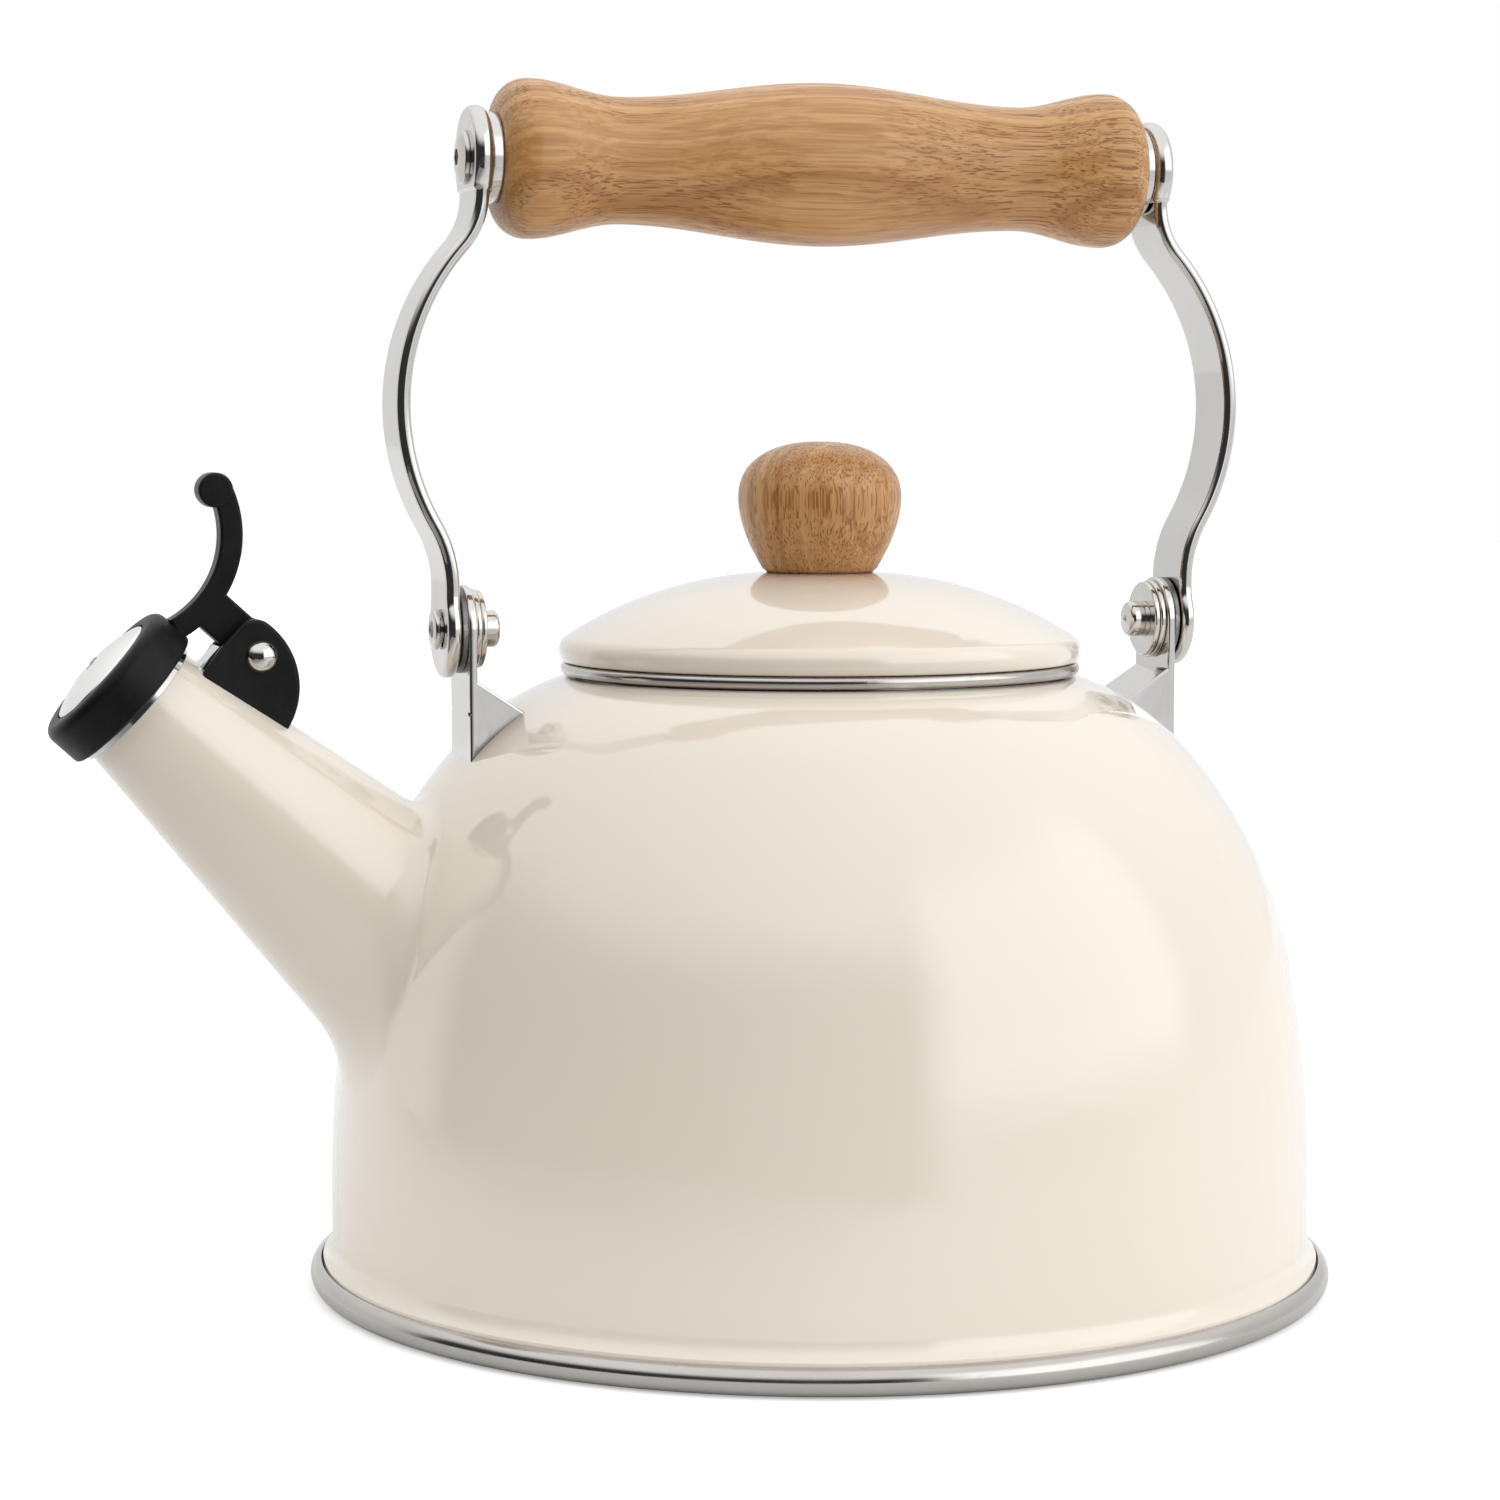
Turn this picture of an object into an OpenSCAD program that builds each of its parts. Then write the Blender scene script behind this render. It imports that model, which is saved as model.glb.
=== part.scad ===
// Stovetop whistling kettle, in millimetres. +Z is up, the spout points to -X,
// the base stands on z = 0 and the body's axis is the Z axis.

/* [Body] */
// outer radius of the lower wall
body_r = 91; // [70:0.5:110]
// height where the lower wall starts to lean in
wall_top = 20; // [10:1:40]
// wall thickness of the enamelled body
wall_t = 1.2; // [0.8:0.1:2.5]
// bend radius of the lower flank
flank_r = 215; // [120:5:300]
// how far the lower flank turns, in degrees
flank_a = 11; // [6:0.5:16]
// bend radius of the upper flank
upper_r = 80; // [60:1:110]
// angle from level where the upper flank ends
upper_a = 43; // [36:0.5:50]
// bend radius of the shoulder
shoulder_r = 45; // [30:1:60]
// angle from level where the shoulder meets the mouth
shoulder_a = 73; // [65:0.5:80]
// inner radius of the mouth
mouth_r = 45.6; // [38:0.1:46.5]

/* [Base] */
// outer radius of the rolled rim
rim_r = 95; // [80:0.5:115]
// radius of the rim's rolled bead
bead_r = 2.5; // [1.5:0.1:4]
// thickness of the base pan
pan_t = 1.4; // [1:0.1:3]

/* [Lid] */
// outer radius of the lid
lid_r = 48.45; // [40:0.05:60]
// height of the lid's flat crown
lid_top = 131.7; // [120:0.1:145]
// bend radius of the lid's dome
lid_dome_r = 73; // [60:1:100]
// radius of the lid's flat crown
lid_flat_r = 7.5; // [4:0.5:12]
// bend radius of the rolled edge
lid_edge_r = 3.22; // [2:0.01:5]
// height of the rolled edge's widest line
lid_edge_z = 117.4; // [110:0.1:125]
// sheet thickness of the lid
lid_t = 1; // [0.6:0.1:2]
// outer radius of the ring that drops into the mouth
skirt_r = 44.8; // [38:0.1:45.3]
// height of that ring's lower edge
skirt_low = 105; // [98:0.5:110]

/* [Knob] */
// largest radius of the knob
knob_r = 15.1; // [10:0.1:20]
// radius of the knob's foot
knob_foot_r = 10.2; // [7:0.1:14]
// height of the knob
knob_h = 24.1; // [16:0.1:35]
// height of the widest line above the foot
knob_wide_h = 13.6; // [8:0.1:20]

/* [Spout] */
// distance from the body's axis to the mouth of the spout
spout_x = 126.5; // [110:0.5:140]
// height of the mouth of the spout
spout_z = 110; // [95:0.5:120]
// rise of the spout above level, in degrees
spout_a = 42.5; // [35:0.5:55]
// outer radius at the mouth
spout_r = 12; // [9:0.1:16]
// growth of the radius for each millimetre towards the body
spout_taper = 0.148; // [0.08:0.002:0.2]
// wall thickness of the spout
spout_t = 1.1; // [0.8:0.1:2]

/* [Whistle cap] */
// outer radius of the cap
cap_r = 14.6; // [13:0.1:18]
// distance from the spout's mouth to the cap's face
cap_top = 8.5; // [6:0.1:12]
// width of the lever and its arm
lever_w = 5.4; // [4:0.1:8]
// inner bend radius of the lever
lever_r = 16.9; // [12:0.1:24]
// thickness of the lever
lever_t = 4; // [2.5:0.1:6]
// distance of the hinge pin from the spout's axis
pin_up = 20.4; // [18:0.1:24]
// distance of the hinge pin behind the spout's mouth
pin_back = 10.3; // [8:0.1:14]
// radius of the hinge pin
pin_r = 1.5; // [1:0.05:2.5]

/* [Handle] */
// height of the two pivots
pivot_z = 122.1; // [115:0.1:130]
// distance from the centre to the strap's middle at a pivot
strap_x = 70.8; // [66:0.1:76]
// thickness of a strap
strap_t = 2.6; // [1.5:0.1:4]
// width of a strap
strap_w = 14.7; // [10:0.1:20]
// bend radius above a pivot
low_r = 22.5; // [15:0.5:35]
// lean of the strap between the two lower bends, in degrees
low_a = 30; // [20:1:40]
// bend radius of the bow
bow_r = 42.4; // [30:0.1:60]
// lean of the strap between the bow and the eye, in degrees
high_a = 42; // [30:1:50]
// bend radius below the eye
high_r = 14; // [8:0.5:25]
// height where the lowest bend starts
bend_z = 129.7; // [124:0.1:140]
// radius of the eye that holds the grip
eye_r = 9.3; // [7:0.1:12]
// height of the grip's axis
grip_z = 206.4; // [195:0.1:220]
// half of the grip's length
grip_half = 61.2; // [50:0.1:65]
// radius of the grip's middle
grip_r = 14.85; // [11:0.05:18]
// radius of the grip's necks
neck_r = 11.4; // [9:0.1:14]
// radius of the grip's end bulbs
bulb_r = 14.3; // [11:0.1:18]
// distance from the middle to a neck
neck_x = 38.3; // [30:0.1:45]
// distance from the middle to the widest line of a bulb
bulb_x = 55.5; // [48:0.1:58]

/* [Brackets] */
// width of a handle bracket
bracket_w = 16; // [12:0.5:22]
// sheet thickness of a handle bracket
bracket_t = 1.5; // [1:0.1:2.5]
// distance from the centre to the bracket's outer face
bracket_x = 68.2; // [64:0.1:74]
// radius of the pivot bolts
bolt_r = 2.5; // [2:0.1:4]

/* [Hidden] */

cream = [0.93, 0.90, 0.83];
steel = [0.78, 0.78, 0.80];
dark_steel = [0.35, 0.35, 0.37];
brass = [0.80, 0.66, 0.36];
wood = [0.76, 0.55, 0.33];
black = [0.06, 0.06, 0.06];
silicone = [0.25, 0.25, 0.26];

// running clearance of a pin in its hole
fit = 0.05;
// reach past a face that a cut goes through
over = 1;

function arc(x, y, r, a0, a1, n) =
  [for (i = [0 : n]) [x + r * cos(a0 + (a1 - a0) * i / n), y + r * sin(a0 + (a1 - a0) * i / n)]];
function turned(p) = [for (i = [len(p) - 1 : -1 : 0]) p[i]];

// centres of the three arcs that make the body's side
flank_x = body_r - flank_r;
flank_z = wall_top;
upper_x = flank_x + (flank_r - upper_r) * cos(flank_a);
upper_z = flank_z + (flank_r - upper_r) * sin(flank_a);
shoulder_x = upper_x + (upper_r - shoulder_r) * cos(upper_a);
shoulder_z = upper_z + (upper_r - shoulder_r) * sin(upper_a);
lip_z = shoulder_z + shoulder_r * sin(shoulder_a);

function side(t, k) = concat(
  arc(flank_x, flank_z, flank_r - t, 0, flank_a, k),
  arc(upper_x, upper_z, upper_r - t, flank_a + 32 / (2 * k), upper_a, 2 * k - 1),
  arc(shoulder_x, shoulder_z, shoulder_r - t, upper_a + 30 / (2 * k), shoulder_a, 2 * k - 1)
);

// the foot flares out in a small cove to meet the rim
cove_r = 5;
foot_z = 3.5;
foot_r = rim_r - 2.1;
foot_out = concat(
  [[foot_r - wall_t, foot_z], [foot_r, foot_z]],
  turned(arc(body_r + cove_r, 9.5, cove_r, 180, 228, 4))
);
body_out = concat(foot_out, side(0, 4), [[mouth_r, lip_z]]);
body_in = concat(
  turned(side(wall_t, 3)),
  [[body_r - wall_t, 9.8], [foot_r - wall_t - 0.3, 5.8]]
);

// solid inside the body's outer face, used to trim what sits on it
module body_solid() {
  rotate_extrude($fn = 120) polygon(concat([[0, foot_z]], body_out, [[0, lip_z]]));
}

module at_spout() {
  translate([-spout_x, 0, spout_z]) rotate([0, spout_a - 90, 0]) children();
}

// a flat outline drawn in (away from the spout's axis, out of the mouth), w wide
module spout_slab(w) {
  rotate([90, 0, 0]) linear_extrude(height = w, center = true) children();
}

spout_len = 78;
spout_root_r = spout_r + spout_taper * spout_len;
spout_end = -0.6;

module spout_bore(past) {
  at_spout() translate([0, 0, -spout_len - past])
    cylinder(h = spout_len + past + spout_end + over,
      r1 = spout_root_r + spout_taper * past - spout_t,
      r2 = spout_r + spout_taper * (-spout_end - over) - spout_t);
}

module body_shell() {
  color(cream) difference() {
    rotate_extrude() polygon(concat(body_out, body_in));
    spout_bore(0);
  }
}

module base_pan() {
  low = 2.2;
  flange = foot_r - 5;
  color(cream) rotate_extrude() polygon([
    [0, 0], [flange - 4, 0], [flange, 0.9], [flange + 2.1, low], [foot_r, low],
    [foot_r, foot_z], [foot_r - 3.6, foot_z], [flange - 0.6, 0.9 + pan_t], [flange - 4.3, pan_t], [0, pan_t]
  ]);
}

module base_rim() {
  color(steel) rotate_extrude() difference() {
    translate([rim_r - bead_r, bead_r + 0.2]) circle(r = bead_r);
    translate([0, 2.2]) square([foot_r + 0.15, 10]);
    translate([0, -over]) square([rim_r - 2 * bead_r + 0.9, 10]);
  }
}

module spout() {
  color(cream) difference() {
    at_spout() translate([0, 0, -spout_len])
      cylinder(h = spout_len + spout_end, r1 = spout_root_r, r2 = spout_r - spout_taper * spout_end);
    spout_bore(3);
    body_solid();
  }
}

module spout_rim() {
  inner = spout_r - spout_t + 0.05;
  color(steel) at_spout() rotate_extrude() polygon([
    [inner - 0.7, -5], [inner - 0.1, -5], [inner - 0.1, spout_end], [spout_r + 0.5, spout_end],
    [spout_r + 0.55, 0.9], [spout_r + 0.3, 1.4], [spout_r - 0.1, 1.6], [inner, 1.6], [inner - 0.5, 1.2], [inner - 0.7, 0.6]
  ]);
}

// rear bracket: an upright web and a hollow tent that stands on the shoulder
module bracket_shape() {
  inner_x = bracket_x - bracket_t;
  difference() {
    union() {
      translate([inner_x, -bracket_w / 2, 94]) cube([bracket_t, bracket_w, pivot_z - 94]);
      translate([inner_x, 0, pivot_z]) rotate([0, 90, 0]) cylinder(h = bracket_t, r = bracket_w / 2);
      rotate([90, 0, 0]) linear_extrude(height = bracket_w, center = true) polygon([
        [bracket_x, 94], [bracket_x, 112.4], [inner_x, 113.2],
        [bracket_x - 10.2, 107.4], [bracket_x - 10.2, 94]
      ]);
    }
    rotate([90, 0, 0]) linear_extrude(height = bracket_w - 2.6, center = true) polygon([
      [inner_x, 90], [inner_x, 111.6], [bracket_x - 8.6, 106.9], [bracket_x - 9.2, 90]
    ]);
    translate([0, 0, pivot_z]) rotate([0, 90, 0]) cylinder(h = 100, r = bolt_r + fit);
    body_solid();
  }
}

module pivot_bolt_shape() {
  head_x = strap_x + strap_t / 2 + 0.3;
  translate([0, 0, pivot_z]) rotate([0, 90, 0]) difference() {
    union() {
      translate([0, 0, bracket_x - 5.7]) cylinder(h = head_x - bracket_x + 5.9, r = bolt_r);
      translate([0, 0, head_x]) rotate_extrude()
        polygon([[0, 0], [3.7, 0], [3.7, 0.35], [3.4, 0.75], [2.7, 1], [0, 1.1]]);
    }
    translate([0, 0, head_x + 0.4]) cylinder(h = 5, r = 1.5);
  }
}

module spacer_shape() {
  translate([bracket_x, 0, pivot_z]) rotate([0, 90, 0]) difference() {
    cylinder(h = 1, r = 7.9);
    translate([0, 0, -over]) cylinder(h = 3, r = bolt_r + fit);
  }
}

module washers_shape() {
  translate([bracket_x - bracket_t, 0, pivot_z]) rotate([0, -90, 0]) difference() {
    union() {
      cylinder(h = 1.1, r = 7.35);
      cylinder(h = 2.2, r = 7.05);
    }
    translate([0, 0, -over]) cylinder(h = 5, r = bolt_r + fit);
  }
}

module cap_nut_shape() {
  translate([bracket_x - bracket_t - 2.2, 0, pivot_z]) rotate([0, -90, 0]) difference() {
    intersection() {
      cylinder(h = 6, r = 3.4);
      translate([0, 0, -1.2]) sphere(r = 4.5);
    }
    translate([0, 0, -over]) cylinder(h = over + 2, r = bolt_r + fit);
  }
}

// middle line of a strap, from the pivot up to the eye
low_x = strap_x + low_r;
bow_x = low_x - (low_r + bow_r) * cos(low_a);
bow_z = bend_z + (low_r + bow_r) * sin(low_a);
high_x = bow_x + (bow_r + high_r) * cos(high_a);
high_z = bow_z + (bow_r + high_r) * sin(high_a);
eye_x = high_x - high_r;

function strap_edge(d) = concat(
  [[strap_x + d, pivot_z]],
  arc(low_x, bend_z, low_r - d, 180, 180 - low_a, 4),
  arc(bow_x, bow_z, bow_r + d, -low_a + 6, high_a, 11),
  arc(high_x, high_z, high_r - d, 180 + high_a - 7, 180, 5),
  [[eye_x + d, grip_z]]
);

module strap_shape() {
  difference() {
    union() {
      rotate([90, 0, 0]) linear_extrude(height = strap_w, center = true)
        polygon(concat(strap_edge(-strap_t / 2), turned(strap_edge(strap_t / 2))));
      translate([strap_x - strap_t / 2, 0, pivot_z]) rotate([0, 90, 0]) cylinder(h = strap_t, r = 8.8);
      translate([eye_x - 1.7, 0, grip_z]) rotate([0, 90, 0]) cylinder(h = 3.4, r = eye_r);
    }
    translate([0, 0, pivot_z]) rotate([0, 90, 0]) cylinder(h = 100, r = bolt_r + fit);
    translate([0, 0, grip_z]) rotate([0, 90, 0]) cylinder(h = 100, r = 2.1);
  }
}

module ferrule_shape() {
  translate([grip_half, 0, grip_z]) rotate([0, 90, 0]) difference() {
    cylinder(h = eye_x - 1.7 - grip_half, r = 8.2);
    translate([0, 0, -over]) cylinder(h = 10, r = 2.1);
  }
}

module grip_screw_shape() {
  translate([eye_x + 1.7, 0, grip_z]) rotate([0, 90, 0]) difference() {
    union() {
      translate([0, 0, -20]) cylinder(h = 20.2, r = 2);
      rotate_extrude() polygon([[0, 0], [4.85, 0], [4.7, 0.6], [3.9, 1.2], [2.6, 1.5], [0, 1.6]]);
    }
    translate([0, 0, 0.6]) cylinder(h = 5, r = 1.5);
  }
}

insert_len = 18;

module grip_insert_shape() {
  translate([grip_half - insert_len, 0, grip_z]) rotate([0, 90, 0]) difference() {
    cylinder(h = insert_len, r = 4);
    translate([0, 0, -over]) cylinder(h = insert_len + 2, r = 2);
  }
}

function swell(x) = (grip_r + neck_r) / 2 + (grip_r - neck_r) / 2 * cos(180 * x / neck_x);
function bulb(x) = (bulb_r + neck_r) / 2 - (bulb_r - neck_r) / 2 * cos(180 * (x - neck_x) / (bulb_x - neck_x));
end_r = 9;
grip_side = concat(
  [for (i = [0 : 8]) [swell(neck_x * i / 8), neck_x * i / 8]],
  [for (i = [1 : 5]) let (x = neck_x + (bulb_x - neck_x) * i / 5) [bulb(x), x]],
  [for (i = [1 : 5]) [end_r + (bulb_r - end_r) * cos(18 * i), bulb_x + (grip_half - bulb_x) * sin(18 * i)]]
);

module grip() {
  other_side = [for (i = [len(grip_side) - 1 : -1 : 1]) [grip_side[i][0], -grip_side[i][1]]];
  color(wood) translate([0, 0, grip_z]) rotate([0, 90, 0]) difference() {
    rotate_extrude() polygon(concat([[0, -grip_half]], other_side, grip_side, [[0, grip_half]]));
    translate([0, 0, grip_half - insert_len]) cylinder(h = insert_len + over, r = 4);
    translate([0, 0, -grip_half - over]) cylinder(h = insert_len + over, r = 4);
  }
}

module front_bracket() { color(steel) mirror([1, 0, 0]) bracket_shape(); }
module rear_bracket() { color(steel) bracket_shape(); }
module front_pivot_bolt() { color(steel) mirror([1, 0, 0]) pivot_bolt_shape(); }
module rear_pivot_bolt() { color(steel) pivot_bolt_shape(); }
module front_spacer() { color(dark_steel) mirror([1, 0, 0]) spacer_shape(); }
module rear_spacer() { color(dark_steel) spacer_shape(); }
module front_washers() { color(steel) mirror([1, 0, 0]) washers_shape(); }
module rear_washers() { color(steel) washers_shape(); }
module front_cap_nut() { color(steel) mirror([1, 0, 0]) cap_nut_shape(); }
module rear_cap_nut() { color(steel) cap_nut_shape(); }
module front_strap() { color(steel) mirror([1, 0, 0]) strap_shape(); }
module rear_strap() { color(steel) strap_shape(); }
module front_ferrule() { color(steel) mirror([1, 0, 0]) ferrule_shape(); }
module rear_ferrule() { color(steel) ferrule_shape(); }
module front_grip_screw() { color(steel) mirror([1, 0, 0]) grip_screw_shape(); }
module rear_grip_screw() { color(steel) grip_screw_shape(); }
module front_grip_insert() { color(brass) mirror([1, 0, 0]) grip_insert_shape(); }
module rear_grip_insert() { color(brass) grip_insert_shape(); }

// the cap's face carries the domed plate, its underside the seal
cap_low = 0.7;
seal_low = 1.9;
seal_top = 3.4;
plate_top = 3.9;
cap_bore = spout_r + 1.3;
face_bore = 10;
dome_seat = cap_top - 0.6;

// centre of the lever's bend, out from the axis and out of the mouth
lever_u = 20.5;
lever_v = 21.5;
arm_low = 17.4;
arm_high = 24.7;

module lever_outline() {
  difference() {
    polygon(concat(
      arc(lever_u, lever_v, lever_r + lever_t, -110, -26, 16),
      turned(arc(lever_u, lever_v, lever_r, -110, -26, 16))
    ));
    square([cap_r - 1, 40]);
  }
}

module whistle_cap() {
  tip_a = -22;
  tip_d = lever_r + 1.4;
  color(black) at_spout() difference() {
    union() {
      rotate_extrude() polygon([
        [face_bore, plate_top], [cap_bore, plate_top], [cap_bore, cap_low], [cap_r - 0.5, cap_low], [cap_r, cap_low + 0.5],
        [cap_r, cap_top - 2.2], [cap_r - 0.3, cap_top - 1.2], [cap_r - 0.9, cap_top - 0.4], [cap_r - 1.8, cap_top],
        [11.2, cap_top + 0.2], [10.7, cap_top], [10.7, dome_seat], [face_bore, dome_seat]
      ]);
      spout_slab(lever_w) lever_outline();
      translate([lever_u + tip_d * cos(tip_a), 0, lever_v + tip_d * sin(tip_a)]) rotate([90, 0, 0])
        cylinder(h = lever_w + 0.6, r = 3.1, center = true);
      spout_slab(lever_w) polygon([
        [arm_low, -pin_back], [arm_high, -pin_back], [arm_high, 2.2], [arm_high - 2, 3.6], [arm_low, 3.6]
      ]);
      translate([pin_up, 0, -pin_back]) rotate([90, 0, 0]) cylinder(h = lever_w, r = 4.3, center = true);
    }
    translate([pin_up, 0, -pin_back]) rotate([90, 0, 0]) cylinder(h = 20, r = pin_r + fit, center = true);
    translate([pin_up, 0, -pin_back]) rotate([90, 0, 0]) cylinder(h = 2.4, r = 3.3, center = true);
    translate([10, -1.2, -16]) cube([pin_up - 10, 2.4, 12.6]);
    translate([10, -1.2, -16]) cube([pin_up - 6.7, 2.4, 16 - pin_back]);
  }
}

module whistle_dome() {
  rise = 2.1;
  dome_r = 27.8;
  inner_r = dome_r - 0.6;
  centre = cap_top + rise - dome_r;
  color(steel) at_spout() rotate_extrude() polygon(concat(
    [[9.4, dome_seat], [10.6, dome_seat], [10.6, cap_top]],
    [for (i = [1 : 7]) let (r = 10.6 - i * 9 / 7) [r, centre + sqrt(dome_r * dome_r - r * r)]],
    [for (i = [0 : 6]) let (r = 1.6 + i * 7.8 / 6) [r, centre + sqrt(inner_r * inner_r - r * r)]]
  ));
}

module whistle_inner_disc() {
  color(steel) at_spout() difference() {
    translate([0, 0, seal_top]) cylinder(h = plate_top - seal_top, r = cap_bore);
    cylinder(h = 10, r = 1.6);
  }
}

module whistle_seal() {
  color(silicone) at_spout() difference() {
    translate([0, 0, seal_low]) cylinder(h = seal_top - seal_low, r = cap_bore);
    cylinder(h = 10, r = 9);
  }
}

// hinge: two black cheeks joined at the back, over a steel lug on the spout
cheek_in = 3.9;
cheek_out = 6.4;
cheek_u = 11.5;
cheek_v = -8.5;
cheek_r = 14.1;
cheek_front = -3.9;
corner_r = 3.6;

module cheek_outline(back) {
  corner_v = cheek_front - corner_r;
  corner_u = cheek_u + sqrt(pow(cheek_r - corner_r, 2) - pow(corner_v - cheek_v, 2));
  turn = atan2(corner_v - cheek_v, corner_u - cheek_u);
  intersection() {
    polygon(concat(
      [[6, cheek_front - 1.2], [16.5, cheek_front]],
      turned(arc(corner_u, corner_v, corner_r, turn, 90, 5)),
      turned(arc(cheek_u, cheek_v, cheek_r, -93, turn - 4, 11)),
      [[6, cheek_v - cheek_r + 0.6]]
    ));
    translate([0, -60]) square([60, 60 + back]);
  }
}

module spout_outside(grow) {
  translate([0, 0, -spout_len]) cylinder(h = spout_len + 10, r1 = spout_root_r + grow,
    r2 = spout_r - spout_taper * 10 + grow);
}

module hinge_housing() {
  color(black) at_spout() difference() {
    union() {
      translate([0, (cheek_in + cheek_out) / 2, 0]) spout_slab(cheek_out - cheek_in) cheek_outline(0);
      translate([0, -(cheek_in + cheek_out) / 2, 0]) spout_slab(cheek_out - cheek_in) cheek_outline(0);
      spout_slab(2 * cheek_in) cheek_outline(-18.2);
    }
    spout_outside(0);
    translate([pin_up, 0, -pin_back]) rotate([90, 0, 0]) cylinder(h = 20, r = pin_r + 0.02, center = true);
  }
}

module hinge_lug() {
  ear_in = lever_w / 2 + 0.3;
  color(steel) at_spout() difference() {
    union() {
      translate([pin_up, 0, -pin_back]) rotate([90, 0, 0]) cylinder(h = 2 * cheek_in, r = 3.6, center = true);
      translate([8, -cheek_in, -pin_back - 3.6]) cube([pin_up - 8, 2 * cheek_in, 7.2]);
      intersection() {
        spout_outside(0.9);
        translate([8, -cheek_in, -17.8]) cube([20, 2 * cheek_in, 14.2]);
      }
      translate([8, -cheek_in, -4.8]) cube([arm_low - 8.5, 2 * cheek_in, 1]);
    }
    spout_outside(0);
    translate([arm_low - 0.5, -ear_in, -30]) cube([20, 2 * ear_in, 40]);
    intersection() {
      translate([0, -ear_in, -pin_back - 10]) cube([30, 2 * ear_in, pin_back + 5.2]);
      difference() {
        translate([0, -20, -40]) cube([60, 40, 60]);
        spout_outside(0.9);
      }
    }
    translate([pin_up, 0, -pin_back]) rotate([90, 0, 0]) cylinder(h = 20, r = pin_r + 0.02, center = true);
  }
}

module hinge_pin() {
  color(steel) at_spout() translate([pin_up, 0, -pin_back]) rotate([90, 0, 0]) {
    cylinder(h = 2 * cheek_out, r = pin_r, center = true);
    for (s = [0, 180]) rotate([s, 0, 0]) intersection() {
      translate([0, 0, cheek_out - 1.1]) sphere(r = 3.1);
      translate([0, 0, cheek_out]) cylinder(h = 5, r = 4);
    }
  }
}

module hinge_spring() {
  coil_r = 2.25;
  wire_r = 0.35;
  color(steel) at_spout() translate([pin_up, 0, -pin_back]) {
    rotate([90, 0, 0]) rotate_extrude() {
      translate([coil_r, -0.3]) circle(r = wire_r);
      translate([coil_r, 0.3]) circle(r = wire_r);
    }
    translate([-coil_r, 0.25, 0]) rotate([0, -14, 0]) cylinder(h = 5.2, r = 0.28);
    translate([0, -0.25, -coil_r]) rotate([0, -78, 0]) cylinder(h = 5.2, r = 0.28);
  }
}

// centre heights of the lid's dome and of its underside
dome_z = lid_top - lid_dome_r;
edge_x = lid_r - lid_edge_r;
meet_a = atan2(lid_edge_z - dome_z, edge_x - lid_flat_r);

function lid_line(t, k) = concat(
  [[0, lid_top - t]],
  arc(lid_flat_r, dome_z, lid_dome_r - t, 90, meet_a + 2, 2 * k),
  arc(edge_x, lid_edge_z, lid_edge_r - t, meet_a, -35, k)
);

function under(r) = dome_z + sqrt(pow(lid_dome_r - lid_t, 2) - pow(r - lid_flat_r, 2)) - 0.06;

module lid_shell() {
  color(cream) difference() {
    rotate_extrude() polygon(concat(lid_line(0, 7), turned(lid_line(lid_t, 4))));
    translate([0, 0, lid_top - 10]) cylinder(h = 20, r = 2.6);
  }
}

band_low = lip_z + 0.3;

module lid_rim() {
  top = band_low + 2.35;
  mid = (band_low + top) / 2;
  out = lid_r - 0.3;
  color(steel) rotate_extrude() polygon([
    [skirt_r, band_low], [out - 1, band_low], [out - 0.4, band_low + 0.2], [out - 0.05, mid - 0.4], [out, mid],
    [out - 0.05, mid + 0.4], [out - 0.4, top - 0.2], [out - 1, top], [skirt_r, top]
  ]);
}

module lid_skirt() {
  inner = skirt_r - 1;
  color(steel) rotate_extrude()
    polygon([[inner, skirt_low], [skirt_r, skirt_low], [skirt_r, under(skirt_r)], [inner, under(inner)]]);
}

function knob_top(t) = [knob_r * pow(cos(t), 0.87), knob_wide_h + (knob_h - knob_wide_h) * pow(sin(t), 0.87)];
function knob_low(d) = [knob_r - (knob_r - knob_foot_r) * pow(d, 1.75), knob_wide_h * (1 - d)];
knob_hole = 14;

module knob() {
  color(wood) translate([0, 0, lid_top]) difference() {
    rotate_extrude() polygon(concat(
      [[0, 0]],
      [for (i = [0 : 7]) knob_low(1 - i / 8)],
      [for (i = [0 : 9]) knob_top(9 * i)],
      [[0, knob_h]]
    ));
    translate([0, 0, -over]) cylinder(h = knob_hole + over, r = 2);
  }
}

module knob_washer() {
  color(steel) difference() {
    translate([0, 0, lid_top - lid_t - 1]) cylinder(h = 1, r = 6);
    cylinder(h = 200, r = 2.1);
  }
}

module knob_screw() {
  seat = lid_top - lid_t - 1;
  color(steel) difference() {
    union() {
      translate([0, 0, seat - 0.2]) cylinder(h = knob_hole + 1.6, r = 2);
      translate([0, 0, seat]) rotate([180, 0, 0]) rotate_extrude()
        polygon([[0, 0], [4, 0], [4, 1], [3.5, 1.7], [2.4, 2.2], [0, 2.3]]);
    }
    translate([-2, -0.4, seat - 4]) cube([4, 0.8, 3]);
    translate([-0.4, -2, seat - 4]) cube([0.8, 4, 3]);
  }
}

body_shell();
base_pan();
base_rim();
spout();
spout_rim();
front_bracket();
rear_bracket();
front_pivot_bolt();
rear_pivot_bolt();
front_spacer();
rear_spacer();
front_washers();
rear_washers();
front_cap_nut();
rear_cap_nut();
hinge_housing();
hinge_lug();
hinge_pin();
hinge_spring();
front_strap();
rear_strap();
grip();
front_ferrule();
rear_ferrule();
front_grip_screw();
rear_grip_screw();
front_grip_insert();
rear_grip_insert();
whistle_cap();
whistle_dome();
whistle_inner_disc();
whistle_seal();
lid_shell();
lid_rim();
lid_skirt();
knob();
knob_screw();
knob_washer();
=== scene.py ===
"""Stovetop whistling kettle: the finished look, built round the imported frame.

Sizes are in millimetres while a piece is being made, and a finished mesh is in metres.
"""

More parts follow.
